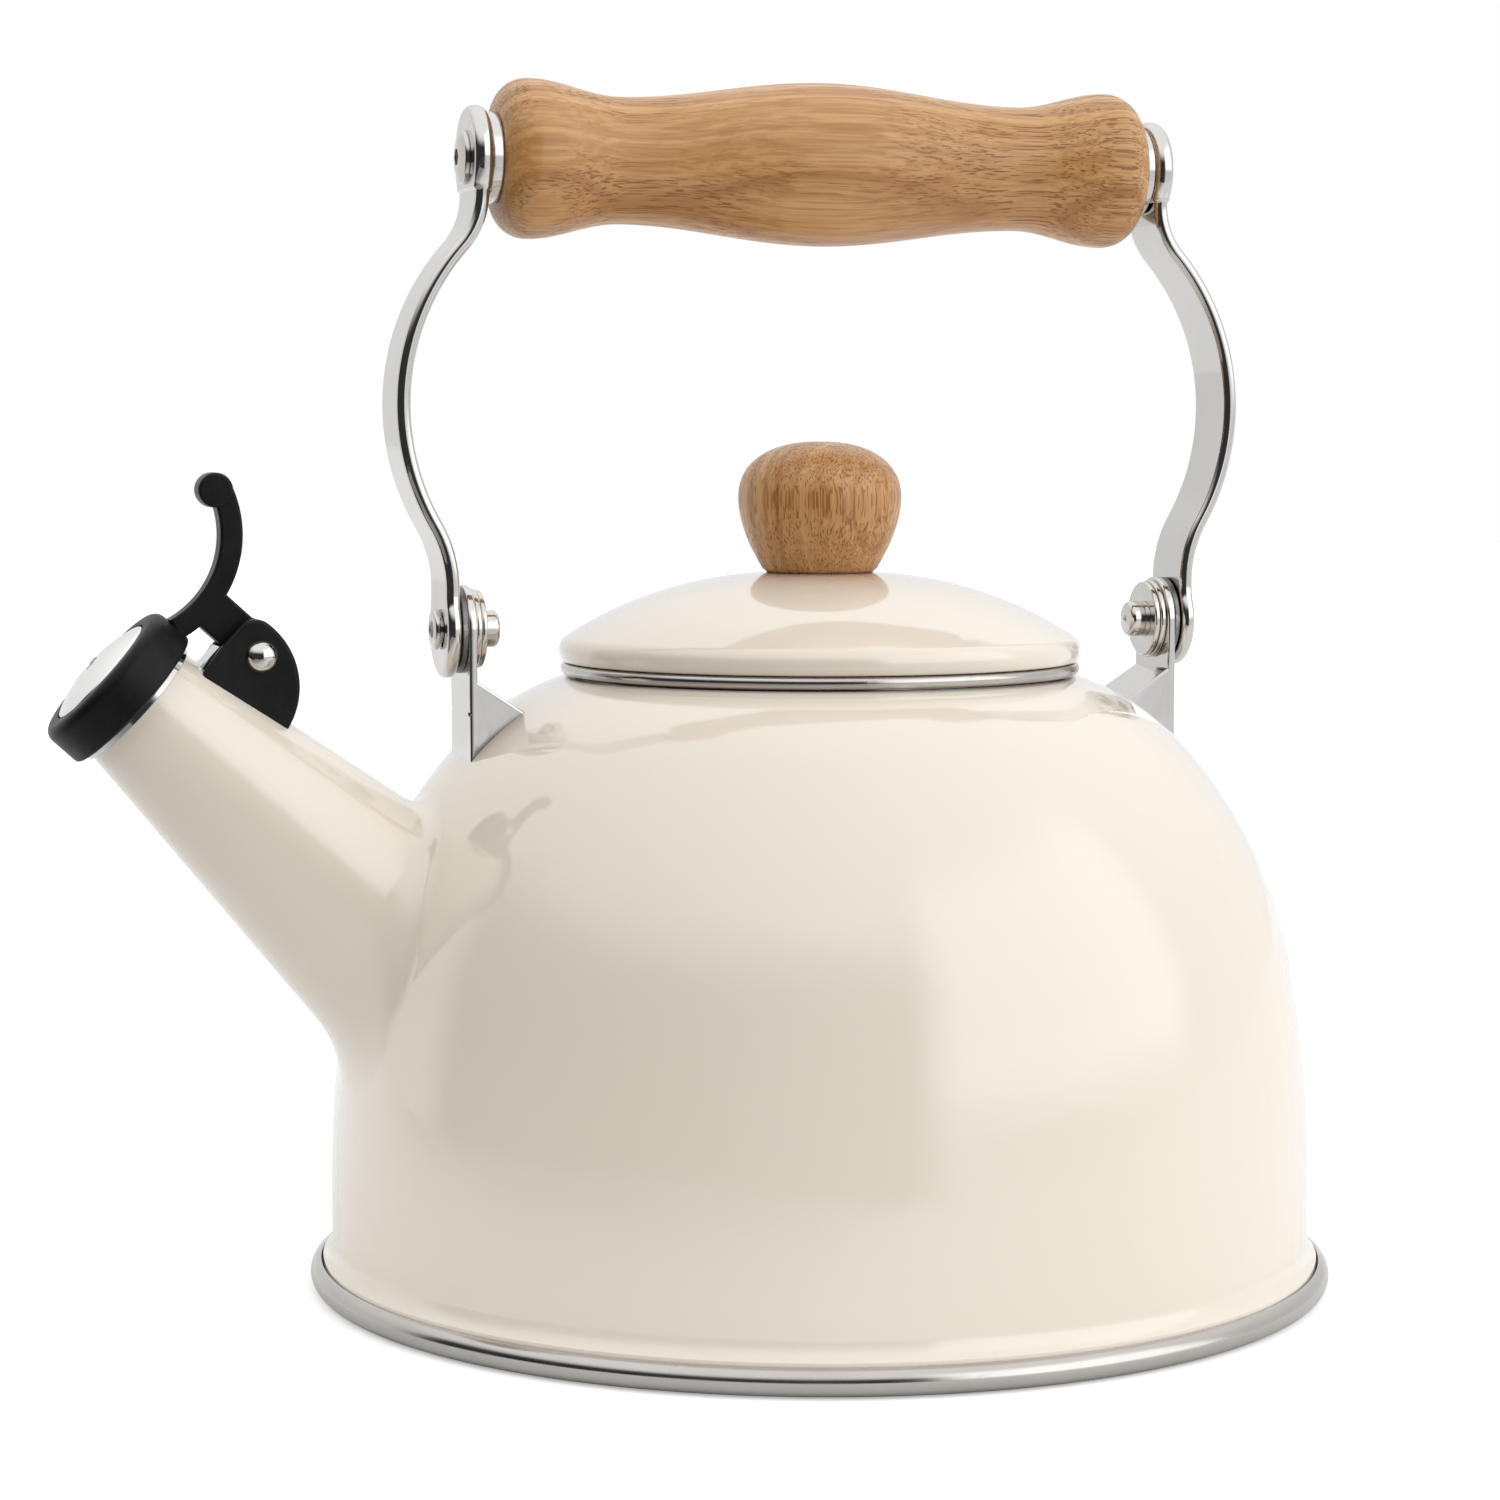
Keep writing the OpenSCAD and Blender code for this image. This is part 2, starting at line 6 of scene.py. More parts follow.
import logging
import math
from abc import ABC, abstractmethod
from dataclasses import dataclass
from enum import Enum
from typing import Callable, ClassVar, Iterable

import bmesh
import bpy
from bmesh.types import BMEdge, BMesh, BMVert
from mathutils import Matrix, Vector


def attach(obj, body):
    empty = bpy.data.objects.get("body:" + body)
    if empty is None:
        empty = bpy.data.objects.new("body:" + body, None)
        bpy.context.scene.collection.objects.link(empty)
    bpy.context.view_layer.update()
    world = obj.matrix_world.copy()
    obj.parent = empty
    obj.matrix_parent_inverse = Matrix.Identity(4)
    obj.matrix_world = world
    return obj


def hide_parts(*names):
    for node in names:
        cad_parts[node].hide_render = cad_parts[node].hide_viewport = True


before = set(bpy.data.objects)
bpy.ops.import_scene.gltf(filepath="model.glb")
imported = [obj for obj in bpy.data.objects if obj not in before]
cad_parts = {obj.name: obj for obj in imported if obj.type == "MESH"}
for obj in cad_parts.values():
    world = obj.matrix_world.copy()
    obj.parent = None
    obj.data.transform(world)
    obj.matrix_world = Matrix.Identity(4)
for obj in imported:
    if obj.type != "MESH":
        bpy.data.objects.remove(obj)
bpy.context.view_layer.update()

MM = 0.001
UP = (0.0, 0.0, 1.0)
log = logging.getLogger("kettle")

Socket = bpy.types.NodeSocket
Node = bpy.types.Node
Tree = bpy.types.NodeTree
Colour = tuple[float, float, float]
Value = float | Colour | Socket


class Body(Enum):
    """The four bodies that move against each other."""

    KETTLE = "kettle"
    HANDLE = "handle"
    WHISTLE = "whistle"
    LID = "lid"


class Slot(Enum):
    """The record's material slots."""

    ENAMEL = "cream_enamel"
    POLISHED = "polished_steel"
    BRIGHT = "bright_steel"
    DARK = "dark_steel"
    BRASS = "brass"
    WOOD = "oiled_wood"
    PLASTIC = "black_plastic"
    SILICONE = "silicone"


class Side(Enum):
    """The spout's side of the kettle and the side away from it."""

    FRONT = -1
    REAR = 1

    def part(self, name: str) -> str:
        """The name of this side's copy of a part."""
        return f"{self.name.lower()}_{name}"


class Grain(Enum):
    """Which way the wood's fibres run."""

    LEVEL = (0.0, 0.0, 0.0)
    UPRIGHT = (0.0, 90.0, 0.0)


class Join(Enum):
    """What happens where two solids meet."""

    ADD = "UNION"
    CUT = "DIFFERENCE"


# ---------------------------------------------------------------- shaping


class Wire:
    """A thin line drawn stroke by stroke in the XZ plane, to be spun or filled."""

    def __init__(self, u: float, v: float) -> None:
        """Starts the line.

        Args:
            u: distance along X of the first point.
            v: distance along Z of the first point.
        """
        self.mesh = bmesh.new()
        self.tip: BMVert = bmesh.ops.create_vert(self.mesh, co=(u, 0, v))["vert"][0]
        self.first = self.tip

    def to(self, u: float, v: float) -> "Wire":
        """Draws a straight stroke to a point.

        Args:
            u: the point's distance along X.
            v: the point's distance along Z.

        Returns:
            The same wire.
        """
        self.tip = bmesh.ops.extrude_vert_indiv(self.mesh, verts=[self.tip])["verts"][0]
        self.tip.co = (u, 0, v)
        return self

    def turn(self, u: float, v: float, degrees: float, steps: int) -> "Wire":
        """Draws an arc about a centre.

        Args:
            u: the centre's distance along X.
            v: the centre's distance along Z.
            degrees: how far the arc turns, positive from X towards Z.
            steps: the number of strokes in the arc.

        Returns:
            The same wire.
        """
        spun = bmesh.ops.spin(
            self.mesh, geom=[self.tip], cent=(u, 0, v), axis=(0, -1, 0),
            angle=math.radians(degrees), steps=steps, use_duplicate=False,
        )
        self.tip = next(g for g in spun["geom_last"] if isinstance(g, BMVert))
        return self

    def follow(self, points: Iterable[tuple[float, float]]) -> "Wire":
        """Draws straight strokes through the points of a curve.

        Args:
            points: the curve's points.

        Returns:
            The same wire.
        """
        for u, v in points:
            self.to(u, v)
        return self

    def close(self) -> "Wire":
        """Joins the end of the line to its start."""
        bmesh.ops.contextual_create(self.mesh, geom=[self.tip, self.first])
        return self


def revolve(wire: Wire, steps: int = 96) -> BMesh:
    """Spins a wire once round the Z axis and closes its seam and poles.

    Args:
        wire: the outline, with its distance from the axis along X.
        steps: the number of steps in the turn.

    Returns:
        The turned skin, with its faces outwards.
    """
    mesh = wire.mesh
    geom = mesh.verts[:] + mesh.edges[:]
    bmesh.ops.spin(
        mesh, geom=geom, cent=(0, 0, 0), axis=UP, angle=math.tau, steps=steps, use_merge=True,
    )
    bmesh.ops.remove_doubles(mesh, verts=mesh.verts, dist=1e-4)
    bmesh.ops.recalc_face_normals(mesh, faces=mesh.faces)
    return mesh


def soften(mesh: BMesh, edges: Iterable[BMEdge], offset: float, segments: int = 3) -> None:
    """Rounds the given edges of a solid.

    Args:
        mesh: the solid.
        edges: the edges to round.
        offset: how far the rounding reaches from the edge.
        segments: the number of strips in the rounding.
    """
    bmesh.ops.bevel(
        mesh, geom=list(edges), offset=offset, affect="EDGES", segments=segments,
        profile=0.5, material=-1, clamp_overlap=False,
    )


def slab(wire: Wire, width: float, rounding: float = 0.0, segments: int = 3) -> BMesh:
    """Fills a closed wire and gives it a width along Y, centred on the wire's plane.

    Args:
        wire: the closed outline.
        width: the slab's width along Y.
        rounding: how far the edges of its two faces are rounded.
        segments: the number of strips in the rounding.

    Returns:
        The slab.
    """
    mesh = wire.mesh
    bmesh.ops.contextual_create(mesh, geom=mesh.edges)
    pushed = bmesh.ops.extrude_face_region(mesh, geom=mesh.faces[:])
    moved = [g for g in pushed["geom"] if isinstance(g, BMVert)]
    bmesh.ops.translate(mesh, verts=moved, vec=(0, width, 0))
    bmesh.ops.translate(mesh, verts=mesh.verts, vec=(0, -width / 2, 0))
    bmesh.ops.recalc_face_normals(mesh, faces=mesh.faces)
    if rounding:
        rims = [e for e in mesh.edges if abs(e.verts[0].co.y - e.verts[1].co.y) < 1e-5]
        soften(mesh, rims, rounding, segments)
    return mesh


def rod(radius: float, length: float, rounding: float = 0.0, sides: int = 48) -> BMesh:
    """Makes a straight rod along Z from the origin up, with rounded ends.

    Args:
        radius: the rod's radius.
        length: the rod's length.
        rounding: how far the two end edges are rounded.
        sides: the number of flats round the rod.

    Returns:
        The rod.
    """
    mesh = bmesh.new()
    bmesh.ops.create_cone(
        mesh, cap_ends=True, segments=sides, radius1=radius, radius2=radius, depth=length,
    )
    bmesh.ops.translate(mesh, verts=mesh.verts, vec=(0, 0, length / 2))
    if rounding:
        rims = [e for e in mesh.edges if abs(e.verts[0].co.z - e.verts[1].co.z) < 1e-5]
        soften(mesh, rims, rounding)
    return mesh


def moved(mesh: BMesh, matrix: Matrix) -> BMesh:
    """Moves a whole mesh, and keeps its faces outwards if the move mirrors it.

    Args:
        mesh: the shape.
        matrix: the move.

    Returns:
        The same mesh.
    """
    bmesh.ops.transform(mesh, matrix=matrix, verts=mesh.verts)
    if matrix.determinant() < 0:
        bmesh.ops.reverse_faces(mesh, faces=mesh.faces)
    return mesh


def sided(mesh: BMesh, side: Side) -> BMesh:
    """Mirrors a part that was made for the rear to the side that it is for."""
    return moved(mesh, Matrix.Scale(side.value, 4, (1, 0, 0)))


def shift(x: float, y: float, z: float) -> Matrix:
    """A plain move."""
    return Matrix.Translation((x, y, z))


def turned(degrees: float, axis: str) -> Matrix:
    """A turn about an axis through the origin."""
    return Matrix.Rotation(math.radians(degrees), 4, axis)


def gathered(*parts: BMesh) -> BMesh:
    """Puts several solids in one mesh.

    Args:
        *parts: the solids, which are used up.

    Returns:
        The new mesh.
    """
    whole = bmesh.new()
    for part in parts:
        holder = bpy.data.meshes.new("holder")
        part.to_mesh(holder)
        whole.from_mesh(holder)
        part.free()
        bpy.data.meshes.remove(holder)
    return whole


def joined(base: BMesh, tool: BMesh, how: Join) -> BMesh:
    """Adds one solid to another, or cuts it away.

    Args:
        base: the solid that is worked on.
        tool: the solid that it meets.
        how: what happens where they meet.

    Returns:
        The result, with both inputs used up.
    """
    holders = []
    for mesh in (base, tool):
        data = bpy.data.meshes.new("holder")
        mesh.to_mesh(data)
        mesh.free()
        holder = bpy.data.objects.new("holder", data)
        bpy.context.scene.collection.objects.link(holder)
        holders.append(holder)
    change = holders[0].modifiers.new("join", "BOOLEAN")
    change.operation = how.value
    change.solver = "EXACT"
    change.object = holders[1]
    result = bmesh.new()
    result.from_object(holders[0], bpy.context.evaluated_depsgraph_get())
    for holder in holders:
        data = holder.data
        bpy.data.objects.remove(holder)
        bpy.data.meshes.remove(data)
    bmesh.ops.remove_doubles(result, verts=result.verts, dist=1e-4)
    return result


# ---------------------------------------------------------------- finishes


class Recipe:
    """A node tree being filled, with short ways to add and join its nodes."""

    def __init__(self, tree: Tree) -> None:
        """Takes the tree to fill."""
        self.tree = tree
        self.count = 0

    def node(self, kind: str, values: dict[str | int, Value] | None = None, **settings: object) -> Node:
        """Adds a node.

        Args:
            kind: the node's type.
            values: what each input takes, a number or another node's output.
            **settings: the node's own properties.

        Returns:
            The new node.
        """
        made = self.tree.nodes.new(kind)
        made.location = (220 * (self.count % 8), -260 * (self.count // 8))
        self.count += 1
        for name, setting in settings.items():
            setattr(made, name, setting)
        for name, value in (values or {}).items():
            self.feed(made.inputs[name], value)
        return made

    def feed(self, socket: Socket, value: Value) -> None:
        """Links an output to a socket, or sets the socket's own value.

        Args:
            socket: the input to fill.
            value: a number, a colour or another node's output.
        """
        if isinstance(value, Socket):
            self.tree.links.new(value, socket)
        elif isinstance(value, tuple) and len(value) == 3 and socket.type == "RGBA":
            socket.default_value = (*value, 1.0)
        else:
            socket.default_value = value

    def maths(self, operation: str, a: Value, b: Value = 0.0) -> Socket:
        """Works out one number from two."""
        return self.node("ShaderNodeMath", {0: a, 1: b}, operation=operation).outputs[0]

    def times(self, a: Value, b: Value) -> Socket:
        """Multiplies two numbers."""
        return self.maths("MULTIPLY", a, b)

    def plus(self, a: Value, b: Value) -> Socket:
        """Adds two numbers."""
        return self.maths("ADD", a, b)

    def ease(self, value: Value, low: float, high: float, to: tuple[float, float] = (0.0, 1.0)) -> Socket:
        """Maps a number smoothly from one range to another."""
        values = {"Value": value, "From Min": low, "From Max": high, "To Min": to[0], "To Max": to[1]}
        return self.node("ShaderNodeMapRange", values, interpolation_type="SMOOTHSTEP").outputs["Result"]

    def mix(self, share: Value, a: Value, b: Value) -> Socket:
        """Mixes two colours."""
        return self.node("ShaderNodeMix", {0: share, 6: a, 7: b}, data_type="RGBA").outputs[2]

    def stretched(self, vector: Value, scale: tuple[float, float, float]) -> Socket:
        """Scales a coordinate unevenly, so that a pattern runs along an axis."""
        return self.node("ShaderNodeVectorMath", {0: vector, 1: scale}, operation="MULTIPLY").outputs[0]

    def noise(self, vector: Value, scale: float, detail: float = 2.0, rough: float = 0.5) -> Socket:
        """A smooth random value over space, about 0.5."""
        values = {"Vector": vector, "Scale": scale, "Detail": detail, "Roughness": rough}
        return self.node("ShaderNodeTexNoise", values).outputs[0]

    def effect(self, group: Tree, values: dict[str, Value]) -> Node:
        """Places a shared effect with its own values.

        Args:
            group: the shared effect.
            values: what each of its inputs takes.

        Returns:
            The effect's node.
        """
        made = self.node("ShaderNodeGroup", node_tree=group)
        for name, value in values.items():
            self.feed(made.inputs[name], value)
        return made


def effect_group(
    title: str, inputs: dict[str, tuple[str, Value]], outputs: tuple[str, ...],
) -> tuple[Recipe, dict[str, Socket], Node]:
    """Starts a shared effect.

    Args:
        title: the group's name.
        inputs: each input's socket type and usual value.
        outputs: the names of its number outputs.

    Returns:
        The recipe to fill, the input sockets by name, and the output node.
    """
    tree = bpy.data.node_groups.new(title, "ShaderNodeTree")
    for name, (kind, usual) in inputs.items():
        socket = tree.interface.new_socket(name, in_out="INPUT", socket_type=kind)
        if kind != "NodeSocketVector":
            socket.default_value = usual
    for name in outputs:
        tree.interface.new_socket(name, in_out="OUTPUT", socket_type="NodeSocketFloat")
    recipe = Recipe(tree)
    start = recipe.node("NodeGroupInput")
    end = recipe.node("NodeGroupOutput")
    return recipe, {name: start.outputs[name] for name in inputs}, end


def effect_inputs(**usual: float) -> dict[str, tuple[str, Value]]:
    """The inputs of a shared effect: a Vector, then numbers with their usual values."""
    numbers = {name: ("NodeSocketFloat", value) for name, value in usual.items()}
    return {"Vector": ("NodeSocketVector", 0), **numbers}


class Effects:
    """Surface effects that several finishes share, each built once."""

    def __init__(self) -> None:
        """Builds every effect."""
        self.mottle = self._mottle()
        self.hairlines = self._hairlines()
        self.edge_wear = self._edge_wear()
        self.dust = self._dust()

    @staticmethod
    def _cloud(recipe: Recipe, given: dict[str, Socket], detail: float) -> Socket:
        """Noise at the effect's own place and scale."""
        values = {"Vector": given["Vector"], "Scale": given["Scale"], "Detail": detail}
        return recipe.node("ShaderNodeTexNoise", values).outputs[0]

    def _mottle(self) -> Tree:
        """Slow drift of a value over the surface, from Low to High.

        Returns:
            The node group.
        """
        recipe, given, end = effect_group("drift", effect_inputs(Scale=20.0, Low=0.0, High=1.0), ("Value",))
        values = {"Value": self._cloud(recipe, given, 3.0), "From Min": 0.28, "From Max": 0.72}
        values |= {"To Min": given["Low"], "To Max": given["High"]}
        recipe.feed(end.inputs["Value"], recipe.node("ShaderNodeMapRange", values).outputs["Result"])
        return recipe.tree

    def _hairlines(self) -> Tree:
        """Fine parallel lines and a few crossing scratches.

        Returns:
            The node group.
        """
        recipe, given, end = effect_group("hairlines", effect_inputs(Scale=1.0), ("Lines", "Scratches"))
        values = {0: given["Vector"], "Scale": given["Scale"]}
        sized = recipe.node("ShaderNodeVectorMath", values, operation="SCALE").outputs[0]
        lines = recipe.noise(recipe.stretched(sized, (60.0, 2600.0, 2600.0)), 1.0, 2.0, 0.6)
        recipe.feed(end.inputs["Lines"], lines)
        values = {"Vector": sized, "Axis": (0.3, 0.8, 0.5), "Angle": 0.9}
        tilted = recipe.node("ShaderNodeVectorRotate", values).outputs[0]
        marks = recipe.noise(recipe.stretched(tilted, (24.0, 1500.0, 700.0)), 1.0, 1.0)
        recipe.feed(end.inputs["Scratches"], recipe.ease(marks, 0.68, 0.76))
        return recipe.tree

    def _edge_wear(self) -> Tree:
        """A mask of the edges that hands and cloths rub.

        Returns:
            The node group.
        """
        inputs = effect_inputs(Scale=200.0, Start=0.52, Full=0.62)
        recipe, given, end = effect_group("edge wear", inputs, ("Mask",))
        sharp = recipe.node("ShaderNodeNewGeometry").outputs["Pointiness"]
        patchy = recipe.maths("SUBTRACT", self._cloud(recipe, given, 4.0), 0.5)
        rubbed = recipe.plus(sharp, recipe.times(patchy, 0.08))
        values = {"Value": rubbed, "From Min": given["Start"], "From Max": given["Full"]}
        recipe.feed(end.inputs["Mask"], recipe.node("ShaderNodeMapRange", values).outputs["Result"])
        return recipe.tree

    def _dust(self) -> Tree:
        """A mask of the thin film that settles on faces turned up.

        Returns:
            The node group.
        """
        recipe, given, end = effect_group("settled dust", effect_inputs(Scale=300.0), ("Mask",))
        normal = recipe.node("ShaderNodeNewGeometry").outputs["Normal"]
        up = recipe.node("ShaderNodeSeparateXYZ", {0: normal}).outputs["Z"]
        specks = self._cloud(recipe, given, 5.0)
        film = recipe.times(recipe.ease(up, 0.2, 1.0), recipe.ease(specks, 0.35, 0.75))
        recipe.feed(end.inputs["Mask"], film)
        return recipe.tree


class Finish(ABC):
    """A material, made the first time that a piece wears it."""

    title: ClassVar[str]
    slot: ClassVar[Slot]

    def material(self, effects: Effects) -> bpy.types.Material:
        """The finish as a material.

        Args:
            effects: the shared effects.

        Returns:
            The material, the same one for every piece.
        """
        made = bpy.data.materials.get(self.title)
        if made is None:
            made = bpy.data.materials.new(self.title)
            made.use_nodes = True
            made.node_tree.nodes.clear()
            recipe = Recipe(made.node_tree)
            shader = recipe.node("ShaderNodeBsdfPrincipled")
            place = recipe.node("ShaderNodeTexCoord").outputs["Object"]
            self.lay(recipe, shader, place, effects)
            recipe.node("ShaderNodeOutputMaterial", {"Surface": shader.outputs[0]})
        return made

    @abstractmethod
    def lay(self, recipe: Recipe, shader: Node, place: Socket, effects: Effects) -> None:
        """Fills the material.

        Args:
            recipe: the material's nodes.
            shader: its surface shader.
            place: the Object coordinate.
            effects: the shared effects.
        """


def relief(recipe: Recipe, shader: Node, height: Socket, depth: float) -> None:
    """Lets a height, times a depth in metres, tilt the light on a surface."""
    bump = recipe.node("ShaderNodeBump", {"Height": height, "Distance": depth, "Strength": 1.0})
    recipe.feed(shader.inputs["Normal"], bump.outputs[0])


@dataclass(frozen=True)
class Enamel(Finish):
    """Glossy vitreous enamel, a little uneven as it flowed in the kiln."""

    title: ClassVar[str] = "cream enamel"
    slot: ClassVar[Slot] = Slot.ENAMEL
    cream: Colour = (0.835, 0.762, 0.662)
    deep: Colour = (0.805, 0.725, 0.615)
    edge: Colour = (0.740, 0.640, 0.500)
    ripple: float = 0.00012

    def lay(self, recipe: Recipe, shader: Node, place: Socket, effects: Effects) -> None:
        """Lays slow colour drift, thin warm edges and the flow's ripple.

        Args:
            recipe: the material's nodes.
            shader: its surface shader.
            place: the Object coordinate.
            effects: the shared effects.
        """
        drift = recipe.effect(effects.mottle, {"Vector": place, "Scale": 14.0}).outputs[0]
        fine = recipe.noise(place, 900.0, 4.0)
        tone = recipe.mix(recipe.times(drift, 0.6), self.cream, self.deep)
        values = {"Vector": place, "Scale": 90.0, "Start": 0.56, "Full": 0.7}
        edges = recipe.effect(effects.edge_wear, values).outputs[0]
        tone = recipe.mix(recipe.times(edges, 0.5), tone, self.edge)
        pits = recipe.ease(recipe.noise(place, 420.0, 1.0), 0.78, 0.83)
        tone = recipe.mix(recipe.times(pits, 0.25), tone, self.edge)
        recipe.feed(shader.inputs["Base Color"], tone)
        values = {"Vector": place, "Scale": 55.0, "Low": 0.06, "High": 0.11}
        gloss = recipe.effect(effects.mottle, values).outputs[0]
        film = recipe.effect(effects.dust, {"Vector": place, "Scale": 500.0}).outputs[0]
        recipe.feed(shader.inputs["Roughness"], recipe.plus(gloss, recipe.times(film, 0.05)))
        shader.inputs["Specular IOR Level"].default_value = 0.6
        shader.inputs["Coat Weight"].default_value = 0.8
        shader.inputs["Coat Roughness"].default_value = 0.03
        flow = recipe.plus(recipe.noise(place, 120.0, 1.0), recipe.times(fine, 0.02))
        relief(recipe, shader, flow, self.ripple)


@dataclass(frozen=True)
class Steel(Finish):
    """Steel, from a mirror polish to a dark plated washer."""

    tone: Colour
    smudge: Colour
    gloss: tuple[float, float]
    line_depth: float
    brush: float = 1.0
    spun: bool = False

    def lay(self, recipe: Recipe, shader: Node, place: Socket, effects: Effects) -> None:
        """Lays the polish's hairlines, rub marks and smudges.

        Args:
            recipe: the material's nodes.
            shader: its surface shader.
            place: the Object coordinate.
            effects: the shared effects.
        """
        lines = self._round(recipe, place) if self.spun else place
        hair = recipe.effect(effects.hairlines, {"Vector": lines, "Scale": self.brush})
        drift = recipe.effect(effects.mottle, {"Vector": place, "Scale": 70.0}).outputs[0]
        wear = recipe.effect(effects.edge_wear, {"Vector": place, "Scale": 260.0}).outputs[0]
        film = recipe.effect(effects.dust, {"Vector": place, "Scale": 700.0}).outputs[0]
        tone = recipe.mix(recipe.times(drift, 0.5), self.tone, self.smudge)
        tone = recipe.mix(recipe.times(wear, 0.35), tone, (0.88, 0.88, 0.87))
        recipe.feed(shader.inputs["Base Color"], tone)
        shader.inputs["Metallic"].default_value = 1.0
        low, high = self.gloss
        gloss = recipe.ease(drift, 0.0, 1.0, (low, high))
        rough = recipe.plus(gloss, recipe.times(hair.outputs["Scratches"], 0.12))
        rough = recipe.plus(rough, recipe.times(film, 0.06))
        recipe.feed(shader.inputs["Roughness"], rough)
        relief(recipe, shader, hair.outputs["Lines"], self.line_depth)

    @staticmethod
    def _round(recipe: Recipe, place: Socket) -> Socket:
        """Coordinates that run round the kettle's axis, for turned hairlines.

        Args:
            recipe: the material's nodes.
            place: the Object coordinate.

        Returns:
            The turned coordinates.
        """
        split = recipe.node("ShaderNodeSeparateXYZ", {0: place})
        angle = recipe.times(recipe.maths("ARCTAN2", split.outputs["Y"], split.outputs["X"]), 0.02)
        flat = recipe.stretched(place, (1.0, 1.0, 0.0))
        radius = recipe.node("ShaderNodeVectorMath", {0: flat}, operation="LENGTH")
        values = {"X": angle, "Y": radius.outputs["Value"], "Z": split.outputs["Z"]}
        return recipe.node("ShaderNodeCombineXYZ", values).outputs[0]


@dataclass(frozen=True)
class PolishedSteel(Steel):
    """Mirror polished stainless steel."""

    title: ClassVar[str] = "polished steel"
    slot: ClassVar[Slot] = Slot.POLISHED
    tone: Colour = (0.62, 0.61, 0.595)
    smudge: Colour = (0.56, 0.55, 0.53)
    gloss: tuple[float, float] = (0.05, 0.1)
    line_depth: float = 0.0000014


@dataclass(frozen=True)
class MirrorSteel(PolishedSteel):
    """The whistle's bright plate, buffed more than the rest."""

    title: ClassVar[str] = "mirror steel"
    tone: Colour = (0.86, 0.86, 0.85)
    smudge: Colour = (0.66, 0.66, 0.65)
    gloss: tuple[float, float] = (0.04, 0.14)


@dataclass(frozen=True)
class RolledSteel(Steel):
    """Stainless strip rolled round an edge, with lines along the roll."""

    title: ClassVar[str] = "rolled steel"
    slot: ClassVar[Slot] = Slot.POLISHED
    tone: Colour = (0.52, 0.50, 0.475)
    smudge: Colour = (0.45, 0.425, 0.40)
    gloss: tuple[float, float] = (0.12, 0.2)
    line_depth: float = 0.000006
    spun: bool = True


@dataclass(frozen=True)
class BrightSteel(Steel):
    """Bright plated screws, nuts and washers."""

    title: ClassVar[str] = "bright steel"
    slot: ClassVar[Slot] = Slot.BRIGHT
    tone: Colour = (0.62, 0.60, 0.565)
    smudge: Colour = (0.54, 0.515, 0.48)
    gloss: tuple[float, float] = (0.07, 0.14)
    line_depth: float = 0.000002
    brush: float = 1.6


@dataclass(frozen=True)
class DarkSteelAndHoleShade(Steel):
    """Dark plated spacers, and the dark sleeve that paints shade inside the whistle's hole."""

    title: ClassVar[str] = "dark steel and hole shade"
    slot: ClassVar[Slot] = Slot.DARK
    tone: Colour = (0.045, 0.045, 0.047)
    smudge: Colour = (0.03, 0.03, 0.031)
    gloss: tuple[float, float] = (0.28, 0.42)
    line_depth: float = 0.000008


@dataclass(frozen=True)
class Brass(Steel):
    """Turned brass inserts."""

    title: ClassVar[str] = "turned brass"
    slot: ClassVar[Slot] = Slot.BRASS
    tone: Colour = (0.78, 0.58, 0.26)
    smudge: Colour = (0.62, 0.44, 0.20)
    gloss: tuple[float, float] = (0.2, 0.32)
    line_depth: float = 0.00001


